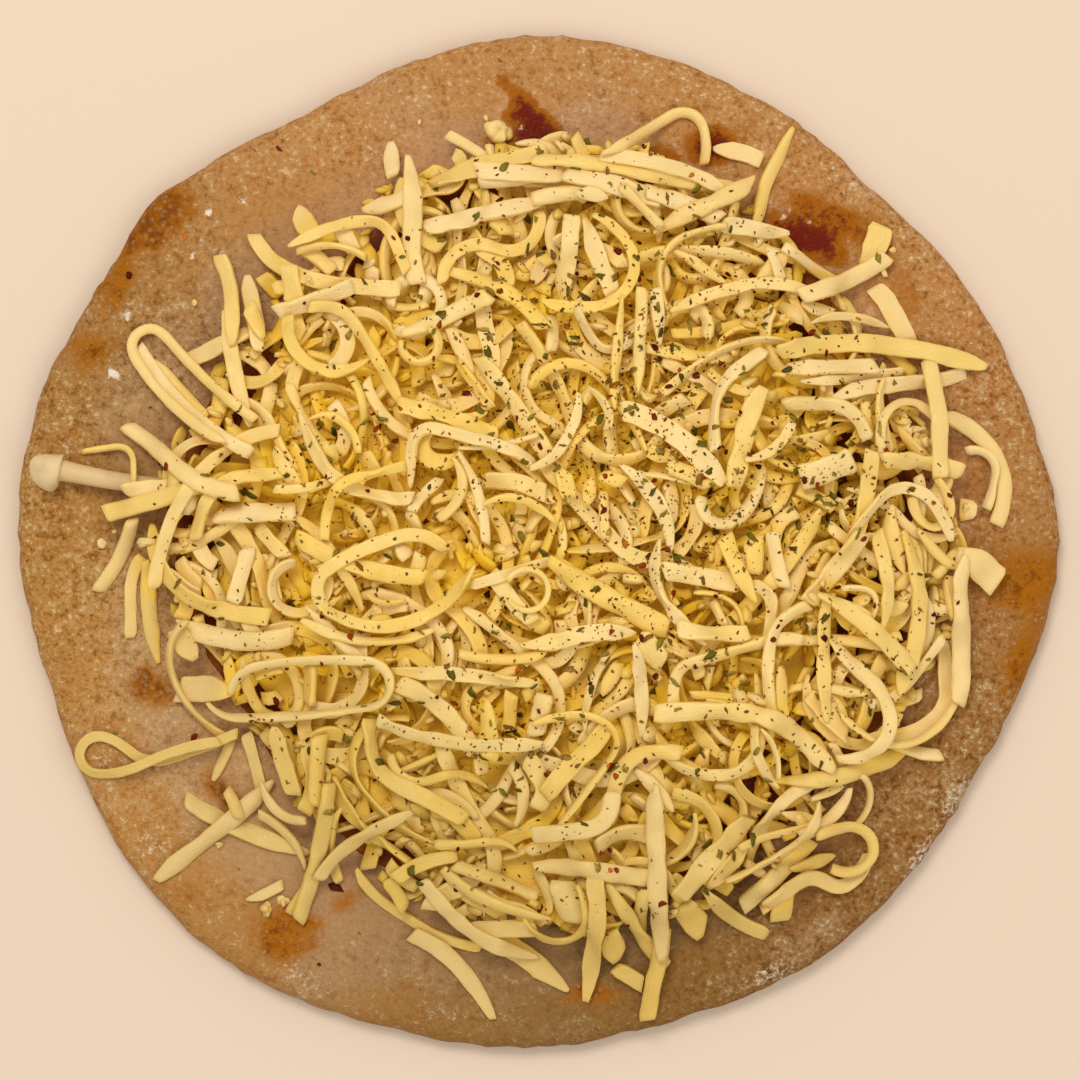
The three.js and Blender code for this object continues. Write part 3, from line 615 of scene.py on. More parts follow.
# The shreds that stand out, from the lowest to the topmost of each region:
# start x, y, heading in degrees, arcs of [length, turn to the left], width, and roll on to the edge.
# Where it matters, then come the two ends: b for blunt, p for pointed.
shreds = [
    # left
    [-114, 22, 8, [[9, 0], [6, -95], [8, 0]], 2, 60], [-103, 12.5, 0, [[25, 5]], 5, 0],
    [-108, 6.5, 12, [[25, 8]], 5, 0], [-101, 5, -105, [[20, -25]], 4, 0],
    [-99, -4, -125, [[10, 35], [11, 0]], 3.5, 0], [-97.5, -5, -92, [[12, 5], [14, 18]], 4.5, 0],
    [-97, 4, -80, [[14, 25], [14, 40], [14, 10]], 5, 0],
    [-85, 0, 80, [[10, -15], [10, -55], [16, -15]], 4, 0], [-80, 6, 5, [[20, -3]], 5.5, 0],
    [-90, -21, -20, [[14, 10], [16, 30]], 5.5, 0], [-90, -37, 0, [[13, 5]], 7, 10],
    [-90, -22, -60, [[9, 0]], 6, 0], [-72, -2, -105, [[14, 0]], 4.5, 0],
    [-64, 27, 185, [[22, 45], [32, 35]], 4, 0], [-88, 44, 25, [[18, 0]], 5, 0],
    [-103, 28.5, -35, [[18, -5], [16, 35]], 5, 0], [-96, 45, -50, [[20, 5]], 3, 0],
    [-100, 48, -60, [[40, 35]], 4, 0], [-78, 57, -82, [[30, 8]], 4.5, 0], [-73, 66, -80, [[20, 5]], 5, 0],
    [-80, 71, -60, [[12, -25], [12, -10]], 4.5, 0],
    [-77, 24, 155, [[33, -35], [13, -170], [32, 15]], 3, 50],
    [-87, -20, -150, [[8, 50], [12, 40], [16, 30]], 3, 60], [-77, -50, -110, [[11, -10]], 3, 0],
    [-73, -48, -75, [[15, 0]], 3.5, 0],
    [-75, -48, 203, [[19, -5], [10, -60], [7, 20], [16, 200], [12, 28], [20, -18]], 3.0, 42, "bb"],
    # bottom left
    [-88.5, -64.5, -37, [[12, 14], [22, 2]], 5.4, 0, "bp"], [-73, -90, 20, [[10, 10]], 3, 0, "pb"],
    [-96, -84.5, 36, [[20, 3], [19, 4]], 5.2, 10, "pp"], [-78, -62, -55, [[8, -20]], 3.4, 0, "bb"],
    [-70, -68, -25, [[12, -30], [7, -20]], 3, 25, "bp"], [-69, -60, -80, [[7, 30], [9, 60]], 3, 40, "pb"],
    [-66, -46, -75, [[18, 5]], 5, 0], [-54, -48, -100, [[18, 15]], 5, 0],
    [-49, -66, -125, [[10, 35], [10, 25]], 3, 0], [-54, -82, -135, [[8, 10], [6, 0]], 3, 0],
    [-52, -60, -95, [[20, -10], [16, -5]], 4.5, 0], [-31, -67.5, 195, [[20, 25], [10, 20]], 4, 0],
    [-46, -82, -60, [[12, 25], [12, 5], [14, 25]], 3, 0], [-38, -84, -50, [[9, -20]], 4, 0],
    [-36, -84, 40, [[17, -40]], 4, 0], [-32, -98, -20, [[12, -25], [18, -25]], 5, 0],
    [-14, -98, -20, [[10, -15], [16, -20]], 6, 0], [-17, -97, 5, [[16, 0]], 5, 0],
    [-29, -84, -55, [[12, 10], [24, 40]], 4.5, 0], [-24, -81, -50, [[12, 25], [18, 20]], 4, 0],
    [-21, -80, -20, [[22, -5]], 4, 0], [-26, -75, -5, [[12, 15], [9, -60]], 3, 0],
    # top left
    [-69, 66, -50, [[7, 10]], 5, 0, "bb"], [-66, 62, 10, [[8, -20]], 4.5, 0, "bb"],
    [-72, 58, -70, [[9, 15]], 4.5, 0, "bp"], [-58, 72, -35, [[9, -10]], 4.5, 0, "bb"],
    [-50, 78, -60, [[8, 5]], 5, 0, "bb"], [-37, 99, -90, [[9, 10]], 4.5, 0],
    [-61, 83, -60, [[11, 0]], 6, 0], [-44, 81.5, 10, [[14, 15]], 5, 0], [-29, 77, 10, [[32, 5]], 5, 0],
    [-23, 100.5, -25, [[11, -15]], 3, 0], [-27, 88, 20, [[30, -10]], 6, 0], [-15, 88, 5, [[15, 0]], 4, 0],
    [-16, 91, -8, [[22, 12]], 5, 0, "bb"], [-2, 84, 12, [[20, -15]], 4.5, 0, "bp"],
    [6, 90, -10, [[24, -10]], 5.5, 0, "bb"], [26, 86, -14, [[20, -12]], 5, 0, "bb"],
    [-31.5, 95, -88, [[20, -5], [12, 20]], 5.5, 0], [-71.5, 76, -65, [[12, 35], [14, 25], [16, 0]], 4.5, 0],
    [-62, 68, -80, [[10, 0]], 6, 0], [-60, 71, 25, [[18, -60]], 2.5, 60],
    [-62, 72, 30, [[20, -20], [8, -75], [10, -5]], 3.5, 20], [-65, 56, 15, [[20, 10]], 5, 0],
    [-62, 55, -100, [[8, 40], [12, 60], [10, 35]], 3.6, 20],
    [-57, 57, 15, [[5, -20], [7, -50], [24, -10]], 3.4, 20], [-22, 66, -10, [[14, -20], [14, -25]], 4.5, 0],
    [-22, 52, -65, [[12, 0]], 4, 0], [-20, 44, -55, [[14, 0]], 3, 0], [-15, 45, -50, [[30, -10]], 5, 0],
    [-34, 50, 25, [[24, 0]], 5, 0], [-34, 49, -100, [[20, 250]], 2.5, 40], [-65, 22, -60, [[14, 10]], 4, 0],
    [-65, 12.5, -5, [[16, 30]], 2.5, 30], [-58, 31, -80, [[12, 20], [12, 40], [14, 25]], 3.8, 10],
    [-57, 30, 30, [[6, -50], [12, -70]], 2.5, 30], [-35, 33, -10, [[26, -15]], 5, 0],
    [-14, 15, 0, [[16, -25]], 5, 0], [-20, 22, -60, [[10, -10], [14, -20]], 3, 20],
    [-20, 22.5, 0, [[20, 20]], 2, 70], [-25, 5, 30, [[7, 30], [6, 40], [5, 20]], 3, 20],
    [-31.5, 13, 92, [[10, -5], [8, -100], [18, -5], [8, -30]], 3.6, 10],
    [-14, 9, 30, [[8, -40], [12, -45]], 2.5, 40],
    # middle left
    [-60, 1, -35, [[34, 35]], 5, 0], [-53, 0, 92, [[9, -20], [10, -60], [12, 5]], 3, 20],
    [-58, -17, -40, [[22, -5]], 4, 0], [-43, -13, -50, [[5, 40], [6, 40]], 2, 30],
    [-36, -32.5, 0, [[36, -10]], 4, 0], [-20, -28, -15, [[22, 30]], 3, 0],
    [-26, -22, 205, [[34, -60]], 3, 20], [-35, -35, -20, [[26, -45]], 5, 0],
    [-13, -39, -88, [[15, 0]], 5.5, 0], [-42, -44, -95, [[10, 20], [8, 50], [20, -5]], 5, 0],
    [-40, -44, -30, [[14, 20], [28, 15]], 4, 0], [-12, -8, -55, [[16, 10]], 4.5, 0],
    [-17, -11, 15, [[18, 5], [10, -80], [16, -40]], 3.2, 20],
    [-16, -6, -115, [[21, -45], [21, -50], [14, -120], [19, -15], [12, -65]], 3.8, 20],
    [-76, -38, 85, [[10, -75], [28, -15], [16, -165], [34, -10], [8, -60]], 3, 50],
    # top right
    [8.5, 100, -65, [[7, 0]], 4, 0], [-2, 93.5, 3, [[20, -15], [30, 5]], 4.5, 0],
    [15, 94.5, -2, [[32, -25]], 4, 0], [63.5, 102, -125, [[12, 10], [16, 25]], 4, 0],
    [43, 98.5, -25, [[6, 15], [7, -20]], 5.2, 0, "pb"], [28, 77, 20, [[28, 10]], 5, 0],
    [45, 78, -10, [[17, 5]], 5, 0], [20, 87, -45, [[14, 0]], 3, 0], [9, 86, -15, [[8, 0]], 4, 0],
    [33, 72, -35, [[16, 0]], 3, 0], [57, 72, -75, [[11, 5]], 3.5, 0], [8, 80, -95, [[24, -5]], 5, 0],
    [10.5, 79, -68, [[20, 0]], 5, 0], [13, 80, -20, [[12, -40], [10, -60], [12, -60], [12, -10]], 3.2, 20],
    [46, 77.5, 185, [[10, 15], [14, 75], [8, 20]], 2.6, 50],
    [15, 94.5, 22, [[10, 15], [11, -5], [10, -110], [9, -25]], 3.2, 40],
    # upper centre right
    [9, 57, -70, [[10, 20], [6, 80], [10, 40]], 3, 30], [28.5, 62, -85, [[14, 0]], 4, 0],
    [25, 62, -92, [[26, 0]], 3.5, 0], [20, 60, -94, [[15, -2], [13, 8]], 3, 0],
    [12, 38, -40, [[7, -20], [6, -60]], 2.5, 30], [10, 36, -95, [[12, -25], [12, -40]], 3, 0],
    [16, 0, 92, [[12, 0]], 3, 0], [5, 18, -75, [[8, 0]], 5, 0], [12, 16, -90, [[8, 0]], 4, 0],
    [15, 16, -20, [[6, 0]], 4, 0], [19, 18, -25, [[12, -30], [14, -35]], 4.5, 0],
    [31, 18, -10, [[12, -25]], 5, 0], [20, 32, -15, [[14, -20], [18, -20]], 6, 0],
    [43, 22, 95, [[10, -10], [12, -50], [8, 0]], 4, 10], [54, 38, -110, [[26, 10]], 6, 0],
    [62, 29, -110, [[8, -30], [8, -40]], 3, 20], [32, 56, 30, [[20, -20], [20, -40]], 3.5, 10],
    [30, 36, 45, [[16, -15], [12, -25], [12, -50], [10, -35]], 2.8, 55],
    # right, upper
    [79.5, 69.5, 30, [[5, 25], [6, 35]], 7, 0, "pb"], [84, 70, -65, [[5, 0]], 1.5, 0],
    [60, 72.5, -30, [[9, -5], [9, 20]], 3.2, 0, "bp"], [64, 60, 15, [[12, 10], [13, 10]], 5, 0],
    [83, 63, -40, [[6, -20], [10, -5]], 5.5, 0], [67, 54, 20, [[10, -25], [10, -25]], 2.5, 50],
    [86, 48, -45, [[10, 5]], 3.5, 0], [88, 47.5, -15, [[13, 5]], 2.5, 0], [64, 38.5, 5, [[26, 5]], 3, 0],
    [60, 42, 2, [[23, 0]], 5, 0], [71, 34, 30, [[10, -20], [16, -5], [10, 20]], 4.5, 0],
    [80, 34, -88, [[6, 15], [8, 5]], 3, 0], [60, 33.5, 5, [[12, -12], [8, -50], [5, -20]], 4, 0],
    [64, 15, 20, [[14, 0]], 8, 0], [88, 28, -50, [[10, 5]], 3, 0],
    [85, 40, -115, [[8, 30], [14, 15]], 3.5, 0], [98, 27, 95, [[6, 40], [8, 70], [8, 60], [10, 30]], 3, 30],
    [81.5, 22, -90, [[10, -10], [12, -10]], 4.5, 0], [84, 19.5, 0, [[10, -3], [11, -20]], 5, 0],
    [97, 31, -5, [[10, -25], [10, -30], [10, -35], [8, -20]], 4.5, 0],
    [96, 45, -72, [[10, -12], [10, -5], [10, 0]], 4.8, 0],
    [58, 46, 15, [[20, -15], [18, -12], [16, -5]], 5.5, 0, "bp"], [107, 10, -95, [[5, 0]], 5, 0],
    [106, 22, 20, [[5, -50], [6, -70], [9, -10]], 3.5, 20], [86, 9, -95, [[8, 20], [10, 15]], 5, 0],
    [98, 15, -50, [[6, -20], [6, -60], [5, -90], [8, -50]], 3, 20],
    [76, 1, 50, [[12, 0], [8, -60], [8, -45], [10, -15]], 3.5, 10],
    # right, lower
    [83, -17, 0, [[8, 5]], 4.5, 0], [74, -12, 10, [[6, -20], [5, -90], [5, -20]], 2, 50],
    [71, -15, -15, [[11, -5]], 3.5, 0], [83, 2, -75, [[10, -5], [8, -20], [6, -15]], 4, 0],
    [79, 2, -120, [[10, -10], [12, 0]], 5.5, 0], [93, 2, -45, [[8, 0], [8, 25]], 3, 0],
    [104.5, -3.5, -28, [[12, -20]], 8.6, 0, "pb"], [69, -36, -10, [[12, -5]], 3, 0],
    [66, -38, -50, [[14, 5]], 5, 0], [72, -50, -60, [[6, 0], [8, -100], [6, 0]], 2.5, 30],
    [92, -52, -155, [[12, -5], [14, -20], [10, -5]], 5, 0], [83, -48, -30, [[10, 10], [8, 20]], 4, 0],
    [100, -26, -80, [[12, -10], [8, -50], [10, -35], [8, -5]], 4.5, 0],
    [100, -24, -125, [[12, -5], [8, -15], [6, -40]], 3, 10],
    [105.5, -33, -100, [[10, -20], [12, -40], [12, -50], [10, -20]], 2.8, 50],
    [104, -3, -90, [[22, 3], [16, -10]], 5.8, 0],
    [89, 2, -65, [[10, -10], [12, -20], [12, -15], [8, 20]], 5, 0],
    [70, -13, -92, [[16, 2], [16, 5]], 4.3, 0],
    [71, -25, -45, [[14, 5], [10, -40], [10, -65], [10, -45]], 4.2, 10],
    [68, -13, -25, [[14, -15], [17, -10]], 5, 0],
    # lower centre
    [-8, -10, 60, [[6, -60], [8, -90], [8, -90], [6, -60]], 1.8, 60],
    [2, -5, -35, [[16, 5], [18, 5]], 6.5, 0], [-4, -27, 15, [[14, 0], [14, -30]], 5, 0],
    [15, -38, 55, [[9, 10]], 4, 0], [24, -24, -45, [[9, 0]], 7, 0],
    [22, -25, -60, [[8, -25], [16, -5]], 4, 0], [29, 0, -105, [[8, 20], [10, 35], [12, 5]], 4, 10],
    [30, -7.5, -8, [[19, -3]], 5.5, 0], [42.5, -15, -65, [[7, 0]], 3, 0],
    [38, -13, 5, [[8, -30], [7, -60], [3, 0]], 2, 60], [57, 2, -85, [[14, 15]], 4, 0],
    [52, -11, 0, [[8, -90], [11, -15]], 3.5, 20], [45.5, 1, -75, [[8, 10], [10, 5]], 4.8, 0],
    [33.5, -21.5, -20, [[6, 15], [12, 10]], 5, 0], [53.5, -33, -88, [[8, 0]], 3, 0],
    [37, -38, -2, [[17, -10]], 2.5, 20], [33, -42, 98, [[8, -20], [6, -65], [18, 5], [10, -30]], 3.5, 20],
    [59, -31, -88, [[14, -3]], 4.5, 0], [66, -16, 195, [[8, 30], [6, 35], [10, 15], [14, 0]], 3.5, 10],
    [24, -56, -50, [[14, 5]], 4, 0], [17, -45, -125, [[12, -10], [12, 0]], 5.5, 0],
    [30, -50, -75, [[8, 50], [12, 35], [12, 80], [10, 70], [8, 10]], 3.5, 20],
    [53, -45, -105, [[8, 35], [10, 25]], 3, 20], [54, -46, -45, [[8, -30], [6, -20]], 2, 50],
    [28, -42.5, 5, [[22, -8], [10, -30], [18, -25]], 5.5, 0],
    [18, -64, 85, [[8, -25], [8, -55], [8, -10]], 4.5, 0],
    [-2, -45.5, 25, [[12, -25], [8, -40], [8, -85], [22, -5]], 2.4, 55],
    # bottom
    [5, -84, -70, [[11, 0]], 8, 0], [17, -97, -75, [[8, 0]], 7, 0], [19, -106, -35, [[8, 0]], 5, 0],
    [26, -86, -110, [[15, 40]], 4, 0], [16.5, -84, -62, [[14, 5], [13, 8]], 4.5, 0],
    [-4, -93, -60, [[6, 20], [8, 60], [8, 75], [8, 30]], 2.8, 20],
    [13.5, -83, -85, [[10, -5], [14, -12], [8, -8]], 5, 0],
    [-2, -72.5, 3, [[14, 5], [8, 70], [4, 10]], 5, 0], [-2, -80, -2, [[14, -5], [16, -3]], 5, 0],
    [35, -90, -55, [[10, 0]], 8, 0], [42, -86, 60, [[14, -30]], 5, 0],
    [40, -86, -50, [[10, 10], [11, 25]], 4.5, 0], [34, -88, 50, [[26, -3]], 6, 0],
    [61, -87, -100, [[8, 0]], 6, 0], [55, -92, 35, [[13, 0]], 3.5, 0],
    [50, -91, 45, [[12, -5], [12, 5]], 5, 0], [49, -76, 30, [[10, -20], [10, 8]], 2.2, 60],
    [31, -96, -100, [[12, -2], [12, 5]], 4.8, 0], [28, -60, -88, [[26, 0], [18, 10]], 5.5, 0],
    [62, -82, 15, [[12, 5]], 4, 0], [64, -73, 20, [[10, 20], [8, 35]], 3.5, 0],
    [79.5, -58, -40, [[5, -40], [6, -40], [5, -20]], 2, 35],
    [82, -78, -105, [[9, -35], [5, -70], [3, 0], [5, 60], [11, 5]], 4.2, 12, "bb"],
    [68, -73, 22, [[8, -15], [7, -60], [6, -70], [6, -50], [5, -40]], 3.2, 45, "bb"],
    [46, -84, 20, [[14, 10], [10, 20], [8, 45]], 3, 20, "bp"],
]
mushroomLine = ((-92, 12.6, 11.9), (-126.4, 19.2, 12.7))  # the stem's hidden end and the cap's tip
mushroomReach = (0.75, 2.1, 4.5, 1.2)  # where the cap starts, radii of stem and cap, room over them


def coreShare(x, y):
    return np.hypot(x, y) / (core["shrink"] * radiusAt(core["radii"], np.arctan2(y, x)))


def coreTop(x, y):
    share = np.minimum(1, coreShare(x, y))
    height, layers = core["lumps"]
    lumps = height * sum(weight * cloud(x, y, size, seed) for weight, size, seed in layers)
    return heapFloor + core["edgeHeight"] + (core["height"] + lumps) * (1 - share ** core["fullness"])


def makeCore():
    profile = [(0, 0), (0.5, 0), (0.97, 0), (1, 0.25), (1, 0.7)]
    profile += [(share, 1) for share in np.linspace(0.985, 0, 80)]
    mesh = unitLathe(profile, core["steps"], "core")
    x, y, upper = points(mesh).T
    share = np.hypot(x, y) / unitRadius
    scale = core["shrink"] * radiusAt(core["radii"], np.arctan2(y, x)) / unitRadius
    x, y = x * scale, y * scale
    bottom = heapFloor - gap - core["sunk"]
    z = bottom + upper * (coreTop(x, y) - bottom) - core["sunk"] * share
    setPoints(mesh, np.stack([x, y, z], 1))
    setAttribute(mesh, "strand", np.stack([x, y, np.zeros_like(x)], 1))
    setAttribute(mesh, "tone", np.full_like(x, core["tone"]))
    setAttribute(mesh, "wall", np.zeros_like(x))
    return mesh


class Reach:
    # the height reached so far in every cell

    def __init__(self):
        self.half, self.cell = reachMap["half"], reachMap["cell"]
        self.count = round(2 * self.half / self.cell) + 1
        self.heights = np.full((self.count, self.count), float(reachMap["empty"]))

    def cells(self, x, y):
        column = np.rint((np.asarray(x) + self.half) / self.cell).astype(int)
        row = np.rint((np.asarray(y) + self.half) / self.cell).astype(int)
        return np.clip(row, 0, self.count - 1), np.clip(column, 0, self.count - 1)

    def read(self, x, y):
        return self.heights[self.cells(x, y)]

    def lift(self, x, y, z):
        np.maximum.at(self.heights, self.cells(x, y), z)


def startReach():
    reach = Reach()
    line = np.linspace(-reach.half, reach.half, reach.count)
    x, y = np.meshgrid(line, line)
    reach.lift(x, y, crustTop(x, y) + reachMap["overCrust"])
    inSauce = np.hypot(x, y) < radiusAt(sauce["radii"], np.arctan2(y, x))
    reach.lift(x[inSauce], y[inSauce], heapFloor - gap)
    inCore = coreShare(x, y) < 1
    reach.lift(x[inCore], y[inCore], coreTop(x[inCore], y[inCore]))
    start, tip = (np.array(end) for end in mushroomLine)
    capFrom, stemRadius, capRadius, room = mushroomReach
    for share in np.linspace(0, 1, 120):
        radius = capRadius if share > capFrom else stemRadius
        at = start + share * (tip - start)
        side = np.arange(-radius - 1, radius + 1, 0.4)
        reach.lift(at[0] + 0 * side, at[1] + side, at[2] + radius + room)
    return reach


def eased(values, rounds):
    for _ in range(rounds):
        padded = np.concatenate([values[:1], values, values[-1:]])
        values = (padded[:-2] + padded[1:-1] + padded[2:]) / 3
    return values


def middleLine(x, y, heading, arcs):
    lengths = np.array([length for length, _ in arcs], float)
    turns = np.radians([turn for _, turn in arcs])
    count = max(4, round(lengths.sum() / shred["spacing"]))
    step = lengths.sum() / count
    which = np.searchsorted(np.cumsum(lengths), (np.arange(count) + 0.5) * step)
    turning = eased((turns / lengths)[np.minimum(which, len(arcs) - 1)], shred["easing"]) * step
    angle = math.radians(heading) + np.concatenate([[0], np.cumsum(turning)])
    middle = (angle[1:] + angle[:-1]) / 2
    x = x + np.concatenate([[0], np.cumsum(step * np.cos(middle))])
    y = y + np.concatenate([[0], np.cumsum(step * np.sin(middle))])
    return x, y, angle, step


def bridge(rest):
    # low points rise towards their neighbours' mean, and none sinks below its rest height
    level = rest
    for _ in range(shred["bridging"]):
        padded = np.concatenate([[level[1]], level, [level[-2]]])
        level = np.maximum(rest, (padded[:-2] + padded[2:]) / 2)
    return level


def heapShare(x, y):
    # how far out a point is: 1 at the heap's outline
    return np.hypot(x, y) / radiusAt(heap["radii"], np.arctan2(y, x))


def heapLimit(x, y):
    share = np.minimum(1, heapShare(x, y))
    return heapFloor + heap["edgeHeight"] + heap["height"] * (1 - share ** heap["fullness"])


def lay(line, width, thickness, roll, sink):
    # how high each point of a shred rests on what is there, and how far it leans to the side
    x, y, angle, step = line
    span = (width * math.cos(roll) + thickness * math.sin(roll)) / 2
    rise = (width * math.sin(roll) + thickness * math.cos(roll)) / 2
    across = np.linspace(-1, 1, 2 * math.ceil(span / shred["across"]) + 1) * span
    spotX = x[:, None] - np.sin(angle)[:, None] * across
    spotY = y[:, None] + np.cos(angle)[:, None] * across
    support = reach.read(spotX, spotY)
    lean = np.zeros_like(x)
    if roll < math.radians(shred["conform"]):
        closely, rounds = shred["leaning"]
        half = len(across) // 2
        lean = (support[:, half + 1:].mean(1) - support[:, :half].mean(1)) / span * closely
        lean = eased(np.clip(lean, -shred["steepest"], shred["steepest"]), rounds)
    rest = (support - lean[:, None] * across).max(1) + rise - sink * thickness
    heights = bridge(rest)

    # where it crosses itself, the later part goes over the earlier one
    apart = math.ceil(3 * width / step)
    steps = np.arange(len(x))
    near = np.hypot(x[:, None] - x, y[:, None] - y) < 2 * span
    crossed = near & (steps < steps[:, None] - apart)
    over = np.where(crossed, heights + 2 * rise + shred["crossing"], reachMap["empty"]).max(1)
    heights = bridge(np.maximum(rest, over))
    reach.lift(spotX, spotY, heights[:, None] + lean[:, None] * across + rise)
    return heights, lean


def uneven(at, layers, seeds):
    return 1 + sum(most * cloud(at, 0, over, seed) for (most, over), seed in zip(layers, seeds))


def ribbon(draw, line, heights, lean, width, thickness, roll, blunt):
    # rings round the middle line: slightly cupped, twisting a little, pointed or cut off at the ends
    x, y, angle, step = line
    along = np.arange(len(x)) * step
    whole = along[-1]
    count = max(4, round(whole / shred["ring"]))
    at = np.linspace(0, whole, count)
    path = np.stack([np.interp(at, along, values) for values in (x, y, eased(heights, 3))], 1)
    seed = draw.randint(1000)
    most, over = shred["wavy"]
    path[:, 2] += most * cloud(at, 0, over, seed + 5)
    lean = np.interp(at, along, lean)
    forward = np.gradient(path, axis=0)
    forward /= np.linalg.norm(forward, axis=1)[:, None]
    level = np.stack([-forward[:, 1], forward[:, 0], np.zeros(count)], 1)
    level /= np.linalg.norm(level, axis=1)[:, None]
    up = np.cross(forward, level)

    most, over, widest = shred["twist"]
    turning = cloud(at, 0, over, seed) * smoothStep(*shred["twistFrom"], whole)
    turning += shred["quiver"] * cloud(at, 0, over / 4, seed)
    twist = roll + np.arctan(lean) + math.radians(most) * min(1, widest / width) * turning
    side = level * np.cos(twist)[:, None] + up * np.sin(twist)[:, None]
    top = up * np.cos(twist)[:, None] - level * np.sin(twist)[:, None]

    flat, deep = np.array(shred["section"]).T
    edges = [uneven(at, shred["edges"], (seed + n, seed + n + 10)) for n in (1, 2)]
    wide = np.where(flat > 0, edges[0][:, None], edges[1][:, None])
    thick = uneven(at, shred["thick"], (seed + 3, seed + 4))
    offset = np.zeros(count)
    leastThick, sooner = shred["endThickness"]
    for isBlunt, distance in ((blunt[0], at), (blunt[1], whole - at)):
        tapers, leasts = shred["bluntEnd" if isBlunt else "pointedEnd"]
        taper, least = draw.uniform(*tapers), draw.uniform(*leasts)
        if not isBlunt:
            taper = min(taper, shred["longestTaper"] * whole)
        narrowed = least + (1 - least) * np.clip(distance / taper, 0, 1) ** shred["taperCurve"]
        wide = wide * narrowed[:, None]
        offCentre = draw.uniform(-shred["offCentre"], shred["offCentre"])
        offset += offCentre * (1 - narrowed) * width / 2
        thick = thick * np.maximum(narrowed, leastThick) ** sooner
    cup = draw.uniform(*shred["cup"]) * (flat ** 2 - 0.5)
    thinner = 1 - (1 - draw.uniform(*shred["thinnest"])) * flat ** 2
    a = flat * wide * width / 2 + offset[:, None]
    b = deep * thinner * thick[:, None] * thickness / 2 + cup * width * wide / 2
    rings = path[:, None] + a[..., None] * side[:, None] + b[..., None] * top[:, None]
    most, over, strong = shred["slant"]
    slant = draw.uniform(-most, most, 2)
    reachIn = np.exp(-at / over) * slant[0] - np.exp(-(whole - at) / over) * slant[1]
    rings += (a * reachIn[:, None])[..., None] * forward[:, None] * strong
    strand = np.stack(np.broadcast_arrays(at[:, None], a, float(seed)), -1)
    return rings, strand


def overhead(heights, cells):
    # the top of the heap round each cell, evened out
    steps = range(-cells, cells + 1)
    for axis in (0, 1):
        heights = np.max([np.roll(heights, step, axis) for step in steps], axis=0)
    for axis in (0, 1):
        heights = np.mean([np.roll(heights, step, axis) for step in steps], axis=0)
    return heights


heapShading = {
    "outward": (0.1, 1.1),  # squares of the distance from the middle, as shares
    "patchy": 0.35,
    "low": (-15, -90, 0.3),  # painted shade at the bottom: y where it starts and is full, and how much of x counts too
}


def setShading(mesh):
    # how far each point lies below the top of the heap, for the painted golden glow of the hollows,
    # how far out, and how low it is in the view, for the painted shade at the bottom
    x, y, z = points(mesh).T
    size, deeper, further = cheese["patches"]
    patches = cloud(x, y, size, 51)
    setAttribute(mesh, "depth", top[reach.cells(x, y)] - z + deeper * patches)
    out = (x ** 2 + y ** 2) / unitRadius ** 2 + further * patches
    setAttribute(mesh, "outward", smoothStep(*heapShading["outward"], out))
    setAttribute(mesh, "patches", 0.5 + heapShading["patchy"] * patches)
    begin, full, aslant = heapShading["low"]
    # painted shade: how far into the darker bottom of the picture a point lies
    setAttribute(mesh, "low", smoothStep(begin, full, y + aslant * x))


def join(tubes):
    # one mesh from many closed tubes, each an array of rings
    vertices, strands, tones, walls, quads, fans, start = [], [], [], [], [], [], 0
    onWall = np.abs(np.array(shred["section"])[:, 0]) == 1
    for (rings, strand), tone in tubes:
        count, sides = rings.shape[:2]
        ends = np.stack([rings[0].mean(0), rings[-1].mean(0)])
        vertices += [rings.reshape(-1, 3), ends]
        strands += [strand.reshape(-1, 3), strand[[0, -1], 0]]
        tones.append(np.full(count * sides + 2, tone))
        walls += [np.tile(onWall, count), [1, 1]]
        ring, side = np.meshgrid(np.arange(count - 1), np.arange(sides), indexing="ij")
        first, second = ring * sides + side, ring * sides + (side + 1) % sides
        quads.append(start + np.stack([first, second, second + sides, first + sides], -1).reshape(-1, 4))
        around = np.arange(sides)
        after = (around + 1) % sides
        last = (count - 1) * sides
        fans.append(start + np.stack([after, around, np.full(sides, count * sides)], -1))
        fans.append(start + last + np.stack([around, after, np.full(sides, sides + 1)], -1))
        start += count * sides + 2
    mesh = bpy.data.meshes.new("shreds")
    mesh.from_pydata(np.concatenate(vertices).tolist(), [],
                     np.concatenate(quads).tolist() + np.concatenate(fans).tolist())
    setAttribute(mesh, "strand", np.concatenate(strands))
    setAttribute(mesh, "tone", np.concatenate(tones))
    # where the painted edge glow goes: the long side walls of each shred
    setAttribute(mesh, "wall", np.concatenate(walls))
    return mesh


def scatter(kind, share):
    # shreds in no order: each takes the lowest of a few places, and none goes where the heap is full
    count, out, lengths, widths, thicknesses, bend, bluntShare, seed = kinds[kind]
    draw = np.random.RandomState(seed + round(100 * share))
    tubes = []
    for _ in range(round(count * share)):
        width, thickness = draw.uniform(*widths), draw.uniform(*thicknesses)
        length = draw.uniform(*lengths)
        best = None
        for _ in range(heap["tries"]):
            angle, heading = draw.uniform(0, fullTurn, 2)
            away = radiusAt(heap["radii"], angle) * out * math.sqrt(draw.uniform())
            turns = draw.uniform(-bend / 2, bend / 2, 2)
            back = length / 2 * np.exp(1j * (heading + math.radians(turns[0]) / 2))
            start = away * np.exp(1j * angle) - back
            line = middleLine(start.real, start.imag, math.degrees(heading),
                              [[length / 2, turns[0]], [length / 2, turns[1]]])
            x, y = line[:2]
            outside = heapShare(x, y).max() > heap["outmost"]
            over = (reach.read(x, y) - heapLimit(x, y)).mean() + thickness / 2
            if not outside and (best is None or over < best[0]):
                best = over, line
        if best is None or best[0] > 0:
            continue
        roll = math.radians(draw.choice(heap["rolls"]))
        heights, lean = lay(best[1], width, thickness, roll, heap["settled"])
        blunt = draw.uniform(size=2) < bluntShare
        rings = ribbon(draw, best[1], heights, lean, width, thickness, roll, blunt)
        tubes.append((rings, draw.uniform()))
    return tubes


